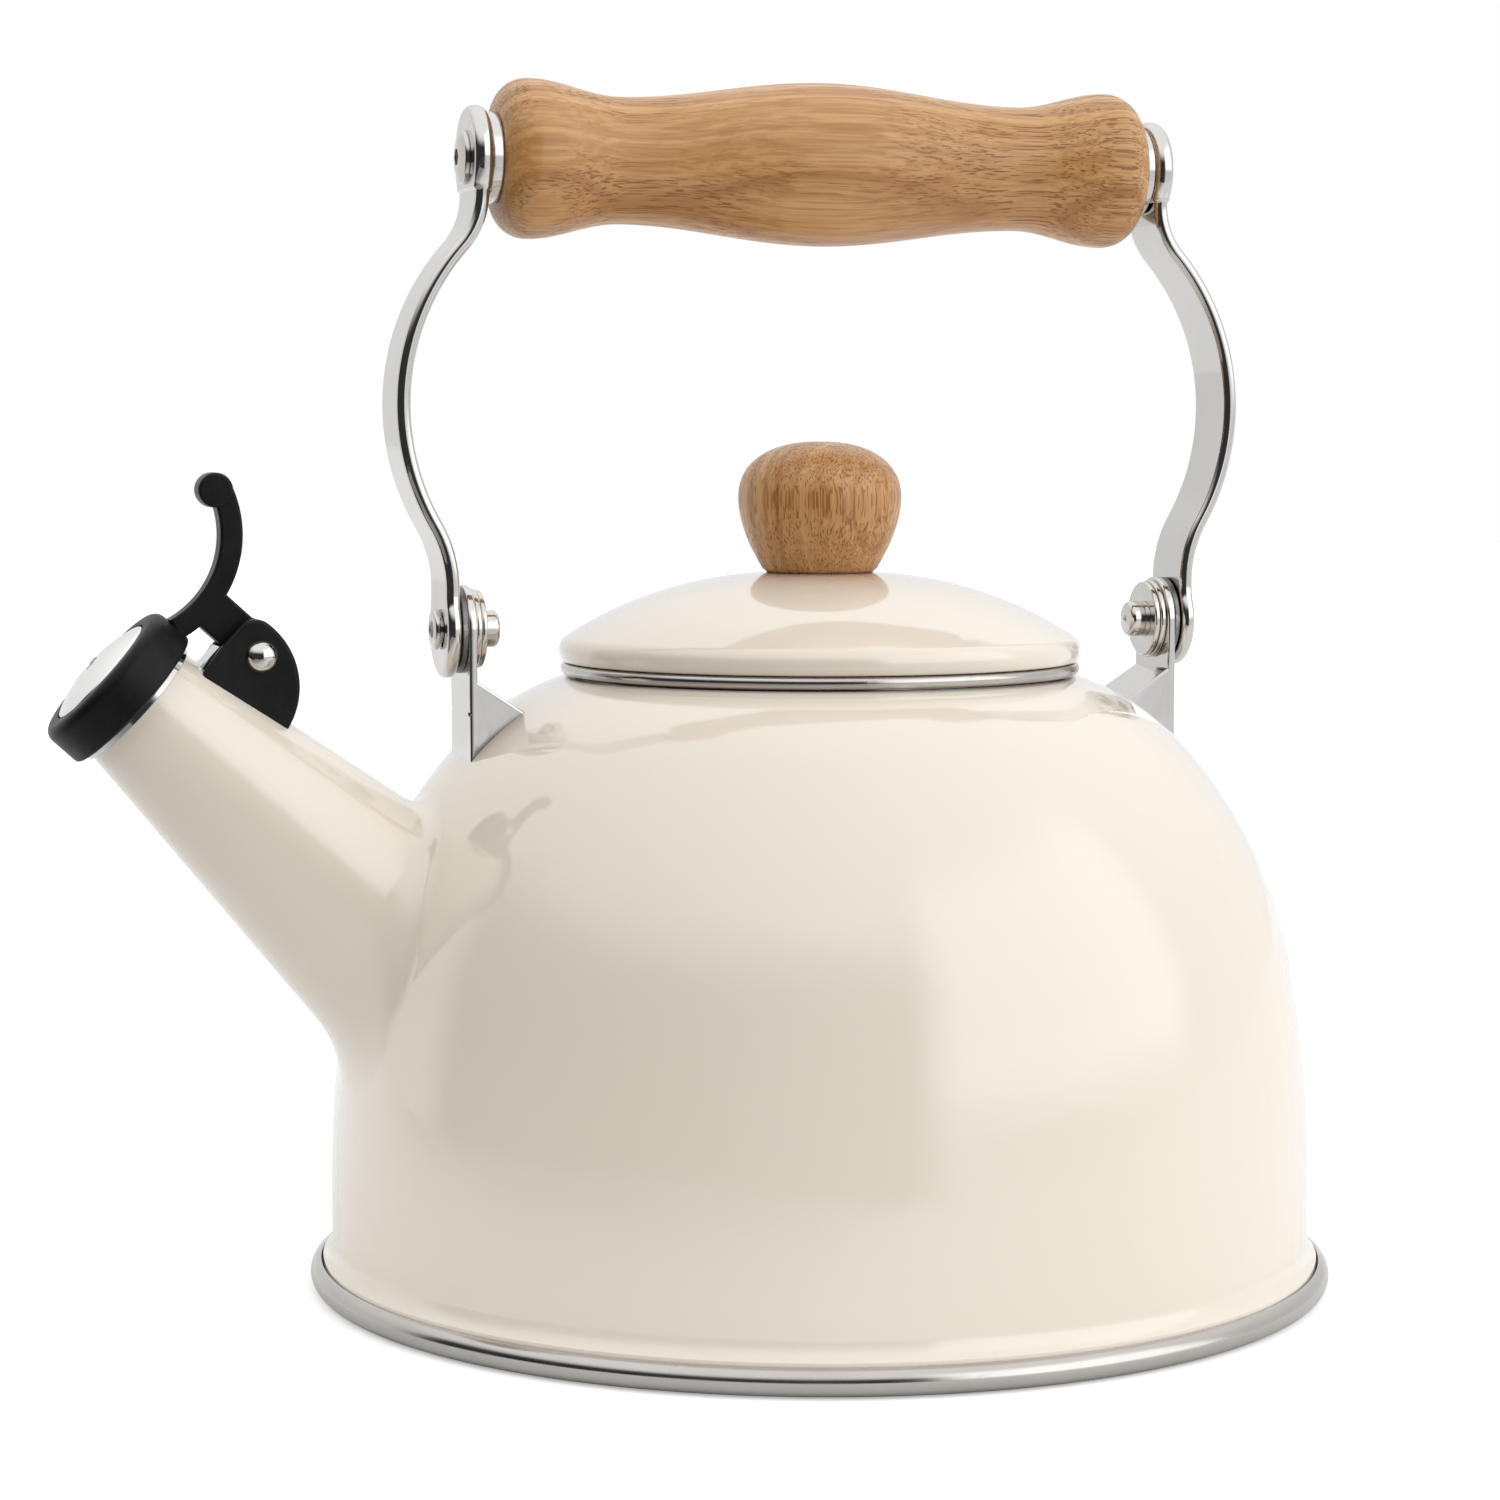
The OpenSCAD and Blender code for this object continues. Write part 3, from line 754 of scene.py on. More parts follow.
@dataclass(frozen=True)
class Wood(Finish):
    """Satin sealed light hardwood with growth bands and short dark pores."""

    title: ClassVar[str]
    slot: ClassVar[Slot] = Slot.WOOD
    grain: Grain
    pith: tuple[float, float, float]
    pale: Colour = (0.680, 0.385, 0.150)
    tan: Colour = (0.520, 0.262, 0.082)
    band: Colour = (0.350, 0.130, 0.020)
    pore: Colour = (0.260, 0.085, 0.012)

    def lay(self, recipe: Recipe, shader: Node, place: Socket, effects: Effects) -> None:
        """Lays growth bands, fibres and pores along the grain.

        Args:
            recipe: the material's nodes.
            shader: its surface shader.
            place: the Object coordinate.
            effects: the shared effects.
        """
        turn = tuple(math.radians(a) for a in self.grain.value)
        values = {"Vector": place, "Location": self.pith, "Rotation": turn}
        along = recipe.node("ShaderNodeMapping", values).outputs[0]
        values = {"Vector": recipe.stretched(along, (14.0, 46.0, 46.0)), "Scale": 1.0}
        wander = recipe.node("ShaderNodeTexNoise", values).outputs["Color"]
        values = {0: wander, 1: (0.004, 0.004, 0.004), 2: along}
        push = recipe.node("ShaderNodeVectorMath", values, operation="MULTIPLY_ADD").outputs[0]
        across = recipe.stretched(push, (0.05, 1.0, 1.0))
        distance = recipe.node("ShaderNodeVectorMath", {0: across}, operation="LENGTH").outputs["Value"]
        values = {"W": distance, "Scale": 430.0, "Detail": 2.0}
        years = recipe.node("ShaderNodeTexNoise", values, noise_dimensions="1D").outputs[0]
        fibres = recipe.noise(recipe.stretched(push, (34.0, 1700.0, 1700.0)), 1.0, 3.0, 0.6)
        streaks = recipe.noise(recipe.stretched(push, (16.0, 420.0, 420.0)), 1.0, 2.0)
        tone = recipe.mix(recipe.ease(years, 0.3, 0.7), self.pale, self.tan)
        tone = recipe.mix(recipe.times(recipe.ease(years, 0.6, 0.72), 0.5), tone, self.band)
        tone = recipe.mix(recipe.ease(fibres, 0.38, 0.68, (0.0, 0.6)), tone, self.band)
        tone = recipe.mix(recipe.ease(streaks, 0.52, 0.7, (0.0, 0.5)), tone, self.band)
        values = {"Vector": along, "Scale": 26.0, "Low": 0.0, "High": 0.45}
        drift = recipe.effect(effects.mottle, values).outputs[0]
        tone = recipe.mix(drift, tone, self.tan)
        marks = recipe.noise(recipe.stretched(push, (80.0, 3300.0, 3300.0)), 1.0, 1.0, 0.4)
        patches = recipe.noise(recipe.stretched(along, (24.0, 60.0, 60.0)), 1.0, 1.0)
        dense = recipe.times(recipe.ease(years, 0.3, 0.5), recipe.ease(patches, 0.3, 0.55))
        pores = recipe.times(recipe.ease(marks, 0.57, 0.64), dense)
        tone = recipe.mix(recipe.times(pores, 0.8), tone, self.pore)
        recipe.feed(shader.inputs["Base Color"], tone)
        rough = recipe.ease(fibres, 0.2, 0.8, (0.34, 0.5))
        recipe.feed(shader.inputs["Roughness"], recipe.plus(rough, recipe.times(pores, 0.2)))
        shader.inputs["Coat Weight"].default_value = 0.35
        shader.inputs["Coat Roughness"].default_value = 0.22
        height = recipe.maths("SUBTRACT", recipe.times(fibres, 0.25), pores)
        relief(recipe, shader, height, 0.00009)


@dataclass(frozen=True)
class GripWood(Wood):
    """The grip's wood, its fibres along the grip."""

    title: ClassVar[str] = "grip wood"
    grain: Grain = Grain.LEVEL
    pith: tuple[float, float, float] = (0.0, 0.052, -0.155)


@dataclass(frozen=True)
class KnobWood(Wood):
    """The knob's wood, its fibres upright."""

    title: ClassVar[str] = "knob wood"
    grain: Grain = Grain.UPRIGHT
    pith: tuple[float, float, float] = (0.0, 0.045, 0.030)


@dataclass(frozen=True)
class Plastic(Finish):
    """Matte moulded heat-resistant plastic, smoother where it is rubbed."""

    title: ClassVar[str] = "black plastic"
    slot: ClassVar[Slot] = Slot.PLASTIC
    black: Colour = (0.0035, 0.0035, 0.0035)
    faded: Colour = (0.007, 0.0068, 0.0066)
    rubbed: Colour = (0.03, 0.03, 0.03)
    dusty: Colour = (0.12, 0.118, 0.115)

    def lay(self, recipe: Recipe, shader: Node, place: Socket, effects: Effects) -> None:
        """Lays the mould's fine texture, rubbed edges and a trace of dust.

        Args:
            recipe: the material's nodes.
            shader: its surface shader.
            place: the Object coordinate.
            effects: the shared effects.
        """
        drift = recipe.effect(effects.mottle, {"Vector": place, "Scale": 110.0}).outputs[0]
        wear = recipe.effect(effects.edge_wear, {"Vector": place, "Scale": 320.0}).outputs[0]
        film = recipe.effect(effects.dust, {"Vector": place, "Scale": 900.0}).outputs[0]
        tone = recipe.mix(drift, self.black, self.faded)
        tone = recipe.mix(recipe.times(wear, 0.6), tone, self.rubbed)
        tone = recipe.mix(recipe.times(film, 0.04), tone, self.dusty)
        recipe.feed(shader.inputs["Base Color"], tone)
        rough = recipe.maths("SUBTRACT", recipe.ease(drift, 0.0, 1.0, (0.36, 0.46)), recipe.times(wear, 0.08))
        recipe.feed(shader.inputs["Roughness"], rough)
        shader.inputs["Specular IOR Level"].default_value = 0.17
        grit = recipe.noise(place, 2600.0, 2.0)
        relief(recipe, shader, grit, 0.00003)


@dataclass(frozen=True)
class Silicone(Finish):
    """Soft grey sealing rubber."""

    title: ClassVar[str] = "grey silicone"
    slot: ClassVar[Slot] = Slot.SILICONE
    grey: Colour = (0.055, 0.055, 0.058)
    bloom: Colour = (0.11, 0.11, 0.112)

    def lay(self, recipe: Recipe, shader: Node, place: Socket, effects: Effects) -> None:
        """Lays a faint pale bloom.

        Args:
            recipe: the material's nodes.
            shader: its surface shader.
            place: the Object coordinate.
            effects: the shared effects.
        """
        drift = recipe.effect(effects.mottle, {"Vector": place, "Scale": 240.0}).outputs[0]
        film = recipe.effect(effects.dust, {"Vector": place, "Scale": 800.0}).outputs[0]
        recipe.feed(shader.inputs["Base Color"], recipe.mix(recipe.times(drift, 0.6), self.grey, self.bloom))
        recipe.feed(shader.inputs["Roughness"], recipe.plus(0.55, recipe.times(film, 0.2)))
        relief(recipe, shader, recipe.noise(place, 1500.0, 2.0), 0.00002)


# ---------------------------------------------------------------- placing


@dataclass
class Bench:
    """Where finished pieces are dressed and put on their bodies."""

    effects: Effects

    def place(
        self, name: str, mesh: BMesh, finish: Finish, body: Body,
        stands_for: tuple[str, ...] = (), crisp: float = 34.0,
    ) -> bpy.types.Object:
        """Turns a finished bmesh into a piece of the kettle.

        Args:
            name: the piece's name.
            mesh: its shape, in millimetres.
            finish: what it is made of.
            body: the body that it rides on.
            stands_for: the frame's nodes that it replaces.
            crisp: the angle past which an edge stays sharp, in degrees.

        Returns:
            The piece.
        """
        bmesh.ops.scale(mesh, verts=mesh.verts, vec=(MM, MM, MM))
        data = bpy.data.meshes.new(name)
        mesh.to_mesh(data)
        mesh.free()
        data.polygons.foreach_set("use_smooth", [True] * len(data.polygons))
        data.set_sharp_from_angle(angle=math.radians(crisp))
        data.materials.append(finish.material(self.effects))
        piece = bpy.data.objects.new(name, data)
        bpy.context.scene.collection.objects.link(piece)
        flat = piece.modifiers.new("flat faces", "WEIGHTED_NORMAL")
        flat.keep_sharp = True
        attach(piece, body.value)
        if stands_for:
            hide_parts(*stands_for)
        log.info("%-22s %7d faces  %s", name, len(data.polygons), finish.title)
        return piece

    def dress(self, node: str, finish: Finish) -> None:
        """Gives a node of the frame, whose shape stays, its finish.

        Args:
            node: the node's name.
            finish: what it is made of.
        """
        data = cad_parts[node].data
        data.materials.clear()
        data.materials.append(finish.material(self.effects))
        log.info("%-22s kept from the frame  %s", node, finish.title)


# ---------------------------------------------------------------- vessel


@dataclass
class Vessel:
    """The enamelled body with its base pan and rolled rim."""

    wall_radius: float = 91.0
    wall_top: float = 20.0
    wall: float = 1.2
    flank_radius: float = 215.0
    flank_angle: float = 11.0
    upper_radius: float = 80.0
    upper_angle: float = 43.0
    shoulder_radius: float = 45.0
    shoulder_angle: float = 73.0
    mouth_radius: float = 45.6
    foot_radius: float = 92.9
    foot_height: float = 3.5
    cove_radius: float = 5.0
    cove_height: float = 9.5
    rim_centre: tuple[float, float] = (92.5, 2.7)
    bead_radius: float = 2.5
    steps: int = 256

    def __post_init__(self) -> None:
        """Works out the centres of the three arcs of the side."""
        self.flank = Vector((self.wall_radius - self.flank_radius, self.wall_top))
        self.upper = self.flank + self._ray(self.flank_radius - self.upper_radius, self.flank_angle)
        self.shoulder = self.upper + self._ray(self.upper_radius - self.shoulder_radius, self.upper_angle)
        self.lip = self.shoulder + self._ray(self.shoulder_radius, self.shoulder_angle)

    @staticmethod
    def _ray(length: float, degrees: float) -> Vector:
        """A step in the outline's plane."""
        angle = math.radians(degrees)
        return Vector((length * math.cos(angle), length * math.sin(angle)))

    def _arc_at(self, radius: float, height: float) -> tuple[Vector, float]:
        """The centre and radius of the side's arc that faces a point.

        Args:
            radius: the point's distance from the kettle's axis.
            height: the point's height.

        Returns:
            The arc's centre and radius.
        """
        lean = math.degrees(math.atan2(height - self.upper.y, radius - self.upper.x))
        if height < self.wall_top:
            return Vector((self.flank.x, height)), self.flank_radius
        if lean < self.flank_angle:
            return self.flank, self.flank_radius
        if lean > self.upper_angle:
            return self.shoulder, self.shoulder_radius
        return self.upper, self.upper_radius

    def over_skin(self, point: Vector) -> float:
        """How far a point stands proud of the body's outer face.

        Args:
            point: the point.

        Returns:
            The distance, which is negative inside.
        """
        flat = Vector((math.hypot(point.x, point.y), point.z))
        centre, radius = self._arc_at(flat.x, flat.y)
        return (flat - centre).length - radius

    def on_skin(self, point: Vector, depth: float = 0.0) -> Vector:
        """The nearest point on the body's outer face, or a little below it.

        Args:
            point: the point to start from.
            depth: how far below the face to stop.

        Returns:
            The point reached.
        """
        flat = Vector((math.hypot(point.x, point.y), point.z))
        centre, radius = self._arc_at(flat.x, flat.y)
        reached = centre + (flat - centre).normalized() * (radius - depth)
        share = reached.x / flat.x
        return Vector((point.x * share, point.y * share, reached.y))

    def skin_normal(self, point: Vector) -> Vector:
        """The direction straight out of the body's outer face."""
        return (self.on_skin(point) - self.on_skin(point, 1.0)).normalized()

    def _side(self, wire: Wire, way: int, steps: tuple[int, int, int]) -> Wire:
        """Draws the three arcs of the side, upwards or downwards.

        Args:
            wire: the line so far.
            way: 1 to draw upwards, -1 downwards.
            steps: the number of strokes in each arc, from the foot up.

        Returns:
            The same wire.
        """
        arcs = [
            (self.flank, self.flank_angle, steps[0]),
            (self.upper, self.upper_angle - self.flank_angle, steps[1]),
            (self.shoulder, self.shoulder_angle - self.upper_angle, steps[2]),
        ]
        for centre, angle, count in arcs[::way]:
            wire.turn(centre.x, centre.y, way * angle, count)
        return wire

    def shell(self) -> BMesh:
        """The body's wall, from its foot to the mouth and back down inside.

        Returns:
            The wall, still without the hole for the spout.
        """
        cove_x = self.wall_radius + self.cove_radius
        start = Vector((cove_x, self.cove_height)) + self._ray(self.cove_radius, 228)
        edge = self.wall / 2
        inner_lip = self.shoulder + self._ray(self.shoulder_radius - self.wall, self.shoulder_angle)
        wire = Wire(self.foot_radius - self.wall, self.foot_height).to(self.foot_radius, self.foot_height)
        wire.to(start.x, start.y).turn(cove_x, self.cove_height, -48, 8)
        wire.to(self.wall_radius, 14).to(self.wall_radius, self.wall_top)
        self._side(wire, 1, (10, 24, 20))
        wire.to(self.mouth_radius + edge, self.lip.y)
        wire.turn(self.mouth_radius + edge, self.lip.y - edge, 180, 8)
        wire.to(inner_lip.x, inner_lip.y)
        self._side(wire, -1, (6, 14, 12))
        inner = self.wall_radius - self.wall
        wire.to(inner, self.cove_height).to(self.foot_radius - self.wall - 0.4, 5.8).close()
        return revolve(wire, self.steps)

    def solid(self) -> BMesh:
        """Everything inside the outer face, used to trim what sits on it.

        Returns:
            The solid.
        """
        wire = Wire(0, self.foot_height).to(self.wall_radius, self.foot_height)
        wire.to(self.wall_radius, self.wall_top)
        self._side(wire, 1, (10, 24, 20)).to(0, self.lip.y)
        return revolve(wire, self.steps)

    def pan(self) -> BMesh:
        """The base pan, with a flat foot ring and a shallow well inside it.

        Returns:
            The pan.
        """
        wire = Wire(0, 0.35).to(46, 0.35).to(48.5, 0.3).to(51, 0).to(82.6, 0)
        wire.turn(82.6, 4.6, 38, 6).to(87.9, 1.6).to(89.4, 2.2).to(self.foot_radius, 2.2)
        wire.to(self.foot_radius, self.foot_height).to(89.3, self.foot_height)
        wire.to(84.6, 1.9).to(83.4, 1.4).to(0, 1.4)
        return revolve(wire, 192)

    def rim(self) -> BMesh:
        """The bright rolled rim that grips the foot of the body and the pan.

        Returns:
            The rim.
        """
        u, v = self.rim_centre
        slot = self.foot_radius + 0.15
        high = math.degrees(math.acos((slot - u) / self.bead_radius))
        low = math.degrees(math.acos((slot - 2.15 - u) / self.bead_radius))
        top = v + self.bead_radius * math.sin(math.radians(high))
        wire = Wire(slot, 2.2).to(slot, top).turn(u, v, -high - low, 28).to(slot - 2.15, 2.2).close()
        return revolve(wire, self.steps)

    def build(self, bench: Bench, spout: "Spout") -> None:
        """Makes the body, opened where the spout leaves it, and its base.

        Args:
            bench: where the pieces are dressed and put on their bodies.
            spout: the spout, whose bore opens the body.
        """
        body = joined(self.shell(), spout.bore(), Join.CUT)
        bench.place("kettle_body", body, Enamel(), Body.KETTLE, ("body_shell",))
        bench.place("base_plate", self.pan(), Enamel(), Body.KETTLE, ("base_pan",))
        bench.place("rolled_rim", self.rim(), RolledSteel(), Body.KETTLE, ("base_rim",))


# ---------------------------------------------------------------- spout


@dataclass
class Spout:
    """The slanted spout, flared into the body, with its steel rim."""

    vessel: Vessel
    reach: float = 126.5
    height: float = 110.0
    rise: float = 42.5
    radius: float = 12.0
    taper: float = 0.148
    length: float = 78.0
    wall: float = 1.1
    end: float = -0.6
    tight_leg: float = 4.5
    gentle_leg: float = 9.0
    spokes: int = 144

    def __post_init__(self) -> None:
        """Works out the spout's own frame: X up off its axis, Z out of its mouth."""
        self.frame = shift(-self.reach, 0, self.height) @ turned(self.rise - 90, "Y")

    def at(self, off: float, side: float, out: float) -> Vector:
        """A point of the spout's frame in the kettle's."""
        return self.frame @ Vector((off, side, out))

    def line(self, angle: float, back: float, grow: float = 0.0) -> Vector:
        """A point of the cone, at an angle round it and a distance behind the mouth."""
        radius = self.radius + self.taper * back + grow
        return self.at(radius * math.cos(angle), radius * math.sin(angle), -back)

    def landing(self, angle: float, grow: float = 0.0, depth: float = 0.0) -> float:
        """How far behind the mouth the cone meets the body, found by halving.

        Args:
            angle: the angle round the spout, from its upper side.
            grow: how much wider than the spout the cone is.
            depth: how far below the body's face to stop.

        Returns:
            The distance.
        """
        near, far = 20.0, self.length
        for _ in range(40):
            middle = (near + far) / 2
            if self.vessel.over_skin(self.line(angle, middle, grow)) > -depth:
                near = middle
            else:
                far = middle
        return near

    def bore(self) -> BMesh:
        """The cone of space inside the spout, run on into the body.

        Returns:
            The cone.
        """
        wide = self.radius + self.taper * self.length - self.wall
        slim = self.radius - self.wall
        mesh = bmesh.new()
        bmesh.ops.create_cone(
            mesh, cap_ends=True, segments=self.spokes, radius1=wide, radius2=slim, depth=self.length,
        )
        return moved(mesh, self.frame @ shift(0, 0, -self.length / 2))

    def wing(self, angle: float) -> Callable[[float], Vector]:
        """The spout's outline at one angle: along the cone, then round the flare.

        Args:
            angle: the angle round the spout, from its upper side.

        Returns:
            A curve from 0 at the mouth, over 1 where the flare starts, to 2 on the body.
        """
        meet = self.landing(angle)
        leg = self.tight_leg + (self.gentle_leg - self.tight_leg) * (1 - math.cos(angle)) / 2
        corner = self.line(angle, meet)
        normal = self.vessel.skin_normal(corner)
        away = self.frame.to_3x3() @ Vector((math.cos(angle), math.sin(angle), 0))
        away = (away - normal * away.dot(normal)).normalized()
        foot = self.vessel.on_skin(corner + away * leg, 0.03)

        def curve(t: float) -> Vector:
            """The outline's point at t.

            Args:
                t: how far along the outline the point is, from 0 to 2.

            Returns:
                The point.
            """
            if t <= 1:
                return self.line(angle, -self.end + t * (meet - leg + self.end))
            u = t - 1
            start = self.line(angle, meet - leg)
            return start * (1 - u) ** 2 + corner * (2 * u * (1 - u)) + foot * u**2

        return curve

    def skin(self) -> BMesh:
        """The outer face with its flare, and the bore's face, closed at both ends.

        Returns:
            The spout.
        """
        mesh = bmesh.new()
        spoke = mesh.verts.layers.int.new("spoke")
        bmesh.ops.create_circle(mesh, segments=self.spokes, radius=self.radius)
        for number, vert in enumerate(mesh.verts):
            vert[spoke] = number
        angles = [math.tau * n / self.spokes for n in range(self.spokes)]
        wings = [self.wing(a) for a in angles]
        ends = [self.landing(a, -self.wall, 0.6) for a in angles]
        first = mesh.edges[:]
        for vert in mesh.verts:
            vert.co = wings[vert[spoke]](0)
        outer = self._rings(mesh, first, [k / 12 for k in range(1, 25)], lambda n, t: wings[n](t), spoke)
        inner = self._rings(
            mesh, first, [k / 6 for k in range(7)],
            lambda n, t: self.line(angles[n], -self.end + t * (ends[n] + self.end), -self.wall), spoke,
        )
        bmesh.ops.bridge_loops(mesh, edges=outer + inner)
        bmesh.ops.recalc_face_normals(mesh, faces=mesh.faces)
        return mesh

    @staticmethod
    def _rings(
        mesh: BMesh, start: list[BMEdge], steps: list[float],
        curve: Callable[[int, float], Vector], spoke: object,
    ) -> list[BMEdge]:
        """Pulls a ring of edges along a curve for every spoke.

        Args:
            mesh: the spout's mesh.
            start: the ring to start from.
            steps: where each new ring lies on the curves.
            curve: the point of a spoke at a step.
            spoke: the layer that numbers the spokes.

        Returns:
            The last ring's edges.
        """
        ring = start
        for step in steps:
            made = bmesh.ops.extrude_edge_only(mesh, edges=ring)["geom"]
            ring = [g for g in made if isinstance(g, BMEdge)]
            for vert in (g for g in made if isinstance(g, BMVert)):
                vert.co = curve(vert[spoke], step)
        return ring

    def rim(self) -> BMesh:
        """The steel ring pressed into the spout's mouth.

        Returns:
            The ring.
        """
        inner = self.radius - self.wall - 0.05
        wire = Wire(inner - 0.6, -5).to(inner, -5).to(inner, self.end).to(self.radius + 0.35, self.end)
        wire.turn(self.radius + 0.35, 0, 45, 3).to(self.radius + 0.5, 0.9)
        wire.turn(self.radius - 0.2, 0.9, 90, 6).to(inner + 0.2, 1.6).turn(inner + 0.2, 0.8, 90, 5).close()
        return moved(revolve(wire, 128), self.frame)

    def build(self, bench: Bench) -> None:
        """Makes the spout and its rim."""
        bench.place("spout_tube", self.skin(), Enamel(), Body.KETTLE, ("spout",), crisp=50)
        bench.place("spout_lip", self.rim(), PolishedSteel(), Body.KETTLE, ("spout_rim",))


# ---------------------------------------------------------------- whistle


@dataclass
class Whistle:
    """The sprung black cap with its mirror dome and thumb lever."""

    spout: Spout
    radius: float = 14.6
    low: float = 0.7
    top: float = 8.5
    bore: float = 13.3
    lever_centre: tuple[float, float] = (20.5, 21.5)
    lever_inner: float = 16.9
    lever_thick: float = 4.0
    lever_start: float = -110.0
    lever_end: float = -22.0
    lever_width: float = 5.4
    roll_radius: float = 3.1
    arm: tuple[float, float] = (17.4, 24.7)
    pin: tuple[float, float] = (20.4, -10.3)
    barrel_radius: float = 4.3
    dome_radius: float = 10.6
    dome_rise: float = 2.1
    hole_radius: float = 1.6
    hole_roll: float = 0.2

    def ring(self) -> BMesh:
        """The cap's ring, rounded on its outer corner, with a seat for the dome.

        Returns:
            The ring, in the spout's frame.
        """
        corner = 2.0
        wire = Wire(10.0, 3.9).to(self.bore, 3.9).to(self.bore, self.low + 0.4)
        wire.turn(self.bore + 0.4, self.low + 0.4, 90, 3).to(self.radius - 0.5, self.low)
        wire.turn(self.radius - 0.5, self.low + 0.5, 90, 4).to(self.radius, self.top - corner)
        wire.turn(self.radius - corner, self.top - corner, 90, 9).to(11.3, self.top + 0.05)
        wire.turn(11.3, self.top - 0.35, 90, 4).to(10.9, 7.9).to(10.0, 7.9).close()
        return revolve(wire, 144)

    def lever(self) -> BMesh:
        """The curved thumb lever, its rolled tip, and the arm down to the pin.

        Returns:
            The lever, in the spout's frame.
        """
        u, v = self.lever_centre
        sweep = self.lever_end - self.lever_start
        outer = self.lever_inner + self.lever_thick
        start, end = math.radians(self.lever_start), math.radians(self.lever_end)
        wire = Wire(u + self.lever_inner * math.cos(start), v + self.lever_inner * math.sin(start))
        wire.turn(u, v, sweep, 28).to(u + outer * math.cos(end), v + outer * math.sin(end))
        wire.turn(u, v, -sweep, 28).close()
        blade = slab(wire, self.lever_width, 0.55)
        tip = math.radians(self.lever_end)
        reach = self.lever_inner + 1.0
        broad = self.lever_width + 0.6
        roll = moved(rod(self.roll_radius, broad, 0.6), shift(0, 0, -broad / 2))
        roll = moved(roll, shift(u + reach * math.cos(tip), 0, v + reach * math.sin(tip)) @ turned(90, "X"))
        near, far = self.arm
        pin_u, pin_v = self.pin
        bar = Wire(near, pin_v).to(far, pin_v).to(far, 1.2).turn(far - 2, 1.2, 90, 6).to(near, 3.2).close()
        bar = slab(bar, self.lever_width, 0.5)
        barrel = moved(rod(self.barrel_radius, self.lever_width, 0.5), shift(0, 0, -self.lever_width / 2))
        barrel = moved(barrel, shift(pin_u, 0, pin_v) @ turned(90, "X"))
        whole = joined(joined(joined(blade, bar, Join.ADD), barrel, Join.ADD), roll, Join.ADD)
        slot = bmesh.new()
        bmesh.ops.create_cube(slot, size=1.0)
        moved(slot, shift(15.1, 0, -9.7) @ Matrix.Diagonal((10.6, 2.4, 12.6, 1)))
        return joined(whole, slot, Join.CUT)

    def dome(self) -> BMesh:
        """The mirror dome, with the whistle's hole rolled in at its middle.

        Returns:
            The dome, in the spout's frame.
        """
        sphere = (self.dome_radius**2 + self.dome_rise**2) / (2 * self.dome_rise)
        centre = self.top + self.dome_rise - sphere

        def face(r: float) -> tuple[float, float]:
            """A point of the dome's outline."""
            return r, centre + math.sqrt(sphere**2 - r**2)

        edge = self.dome_radius - 0.25
        mouth = self.hole_radius + self.hole_roll
        wire = Wire(self.dome_radius, 7.9).to(self.dome_radius, self.top - 0.15)
        wire.follow(face(edge - (edge - mouth) * k / 20) for k in range(21))
        _, lip = face(mouth)
        wire.turn(mouth, lip - self.hole_roll, 90, 4).to(self.hole_radius, lip - 1.4)
        wire.to(self.dome_radius - 1.2, 7.9).close()
        return revolve(wire, 128)

    def throat(self) -> BMesh:
        """A dark sleeve just inside the whistle's hole, painted shade for the hole's dark inside.

        Returns:
            The sleeve, in the spout's frame.
        """
        outer, inner = self.hole_radius + 0.1, self.hole_radius - 0.2
        top, foot = self.top + self.dome_rise - 0.35, 7.0
        return revolve(Wire(outer, foot).to(outer, top).to(inner, top - 0.1).to(inner, foot).close(), 48)

    def build(self, bench: Bench) -> None:
        """Makes the cap on the spout's axis and dresses what it holds.

        Args:
            bench: where the pieces are dressed and put on their bodies.
        """
        frame_of_cap = self.spout.frame
        parts = (
            ("whistle_ring", self.ring(), Plastic(), ("whistle_cap",)),
            ("whistle_lever", self.lever(), Plastic(), ()),
            ("whistle_plate", self.dome(), MirrorSteel(), ("whistle_dome",)),
            # the dark throat sleeve is painted shade: it darkens the whistle's hole where only shade falls
            ("whistle_hole_shade", self.throat(), DarkSteelAndHoleShade(), ()),
        )
        for name, mesh, finish, stands_for in parts:
            bench.place(name, moved(mesh, frame_of_cap), finish, Body.WHISTLE, stands_for)
        bench.dress("whistle_inner_disc", BrightSteel())
        bench.dress("whistle_seal", Silicone())


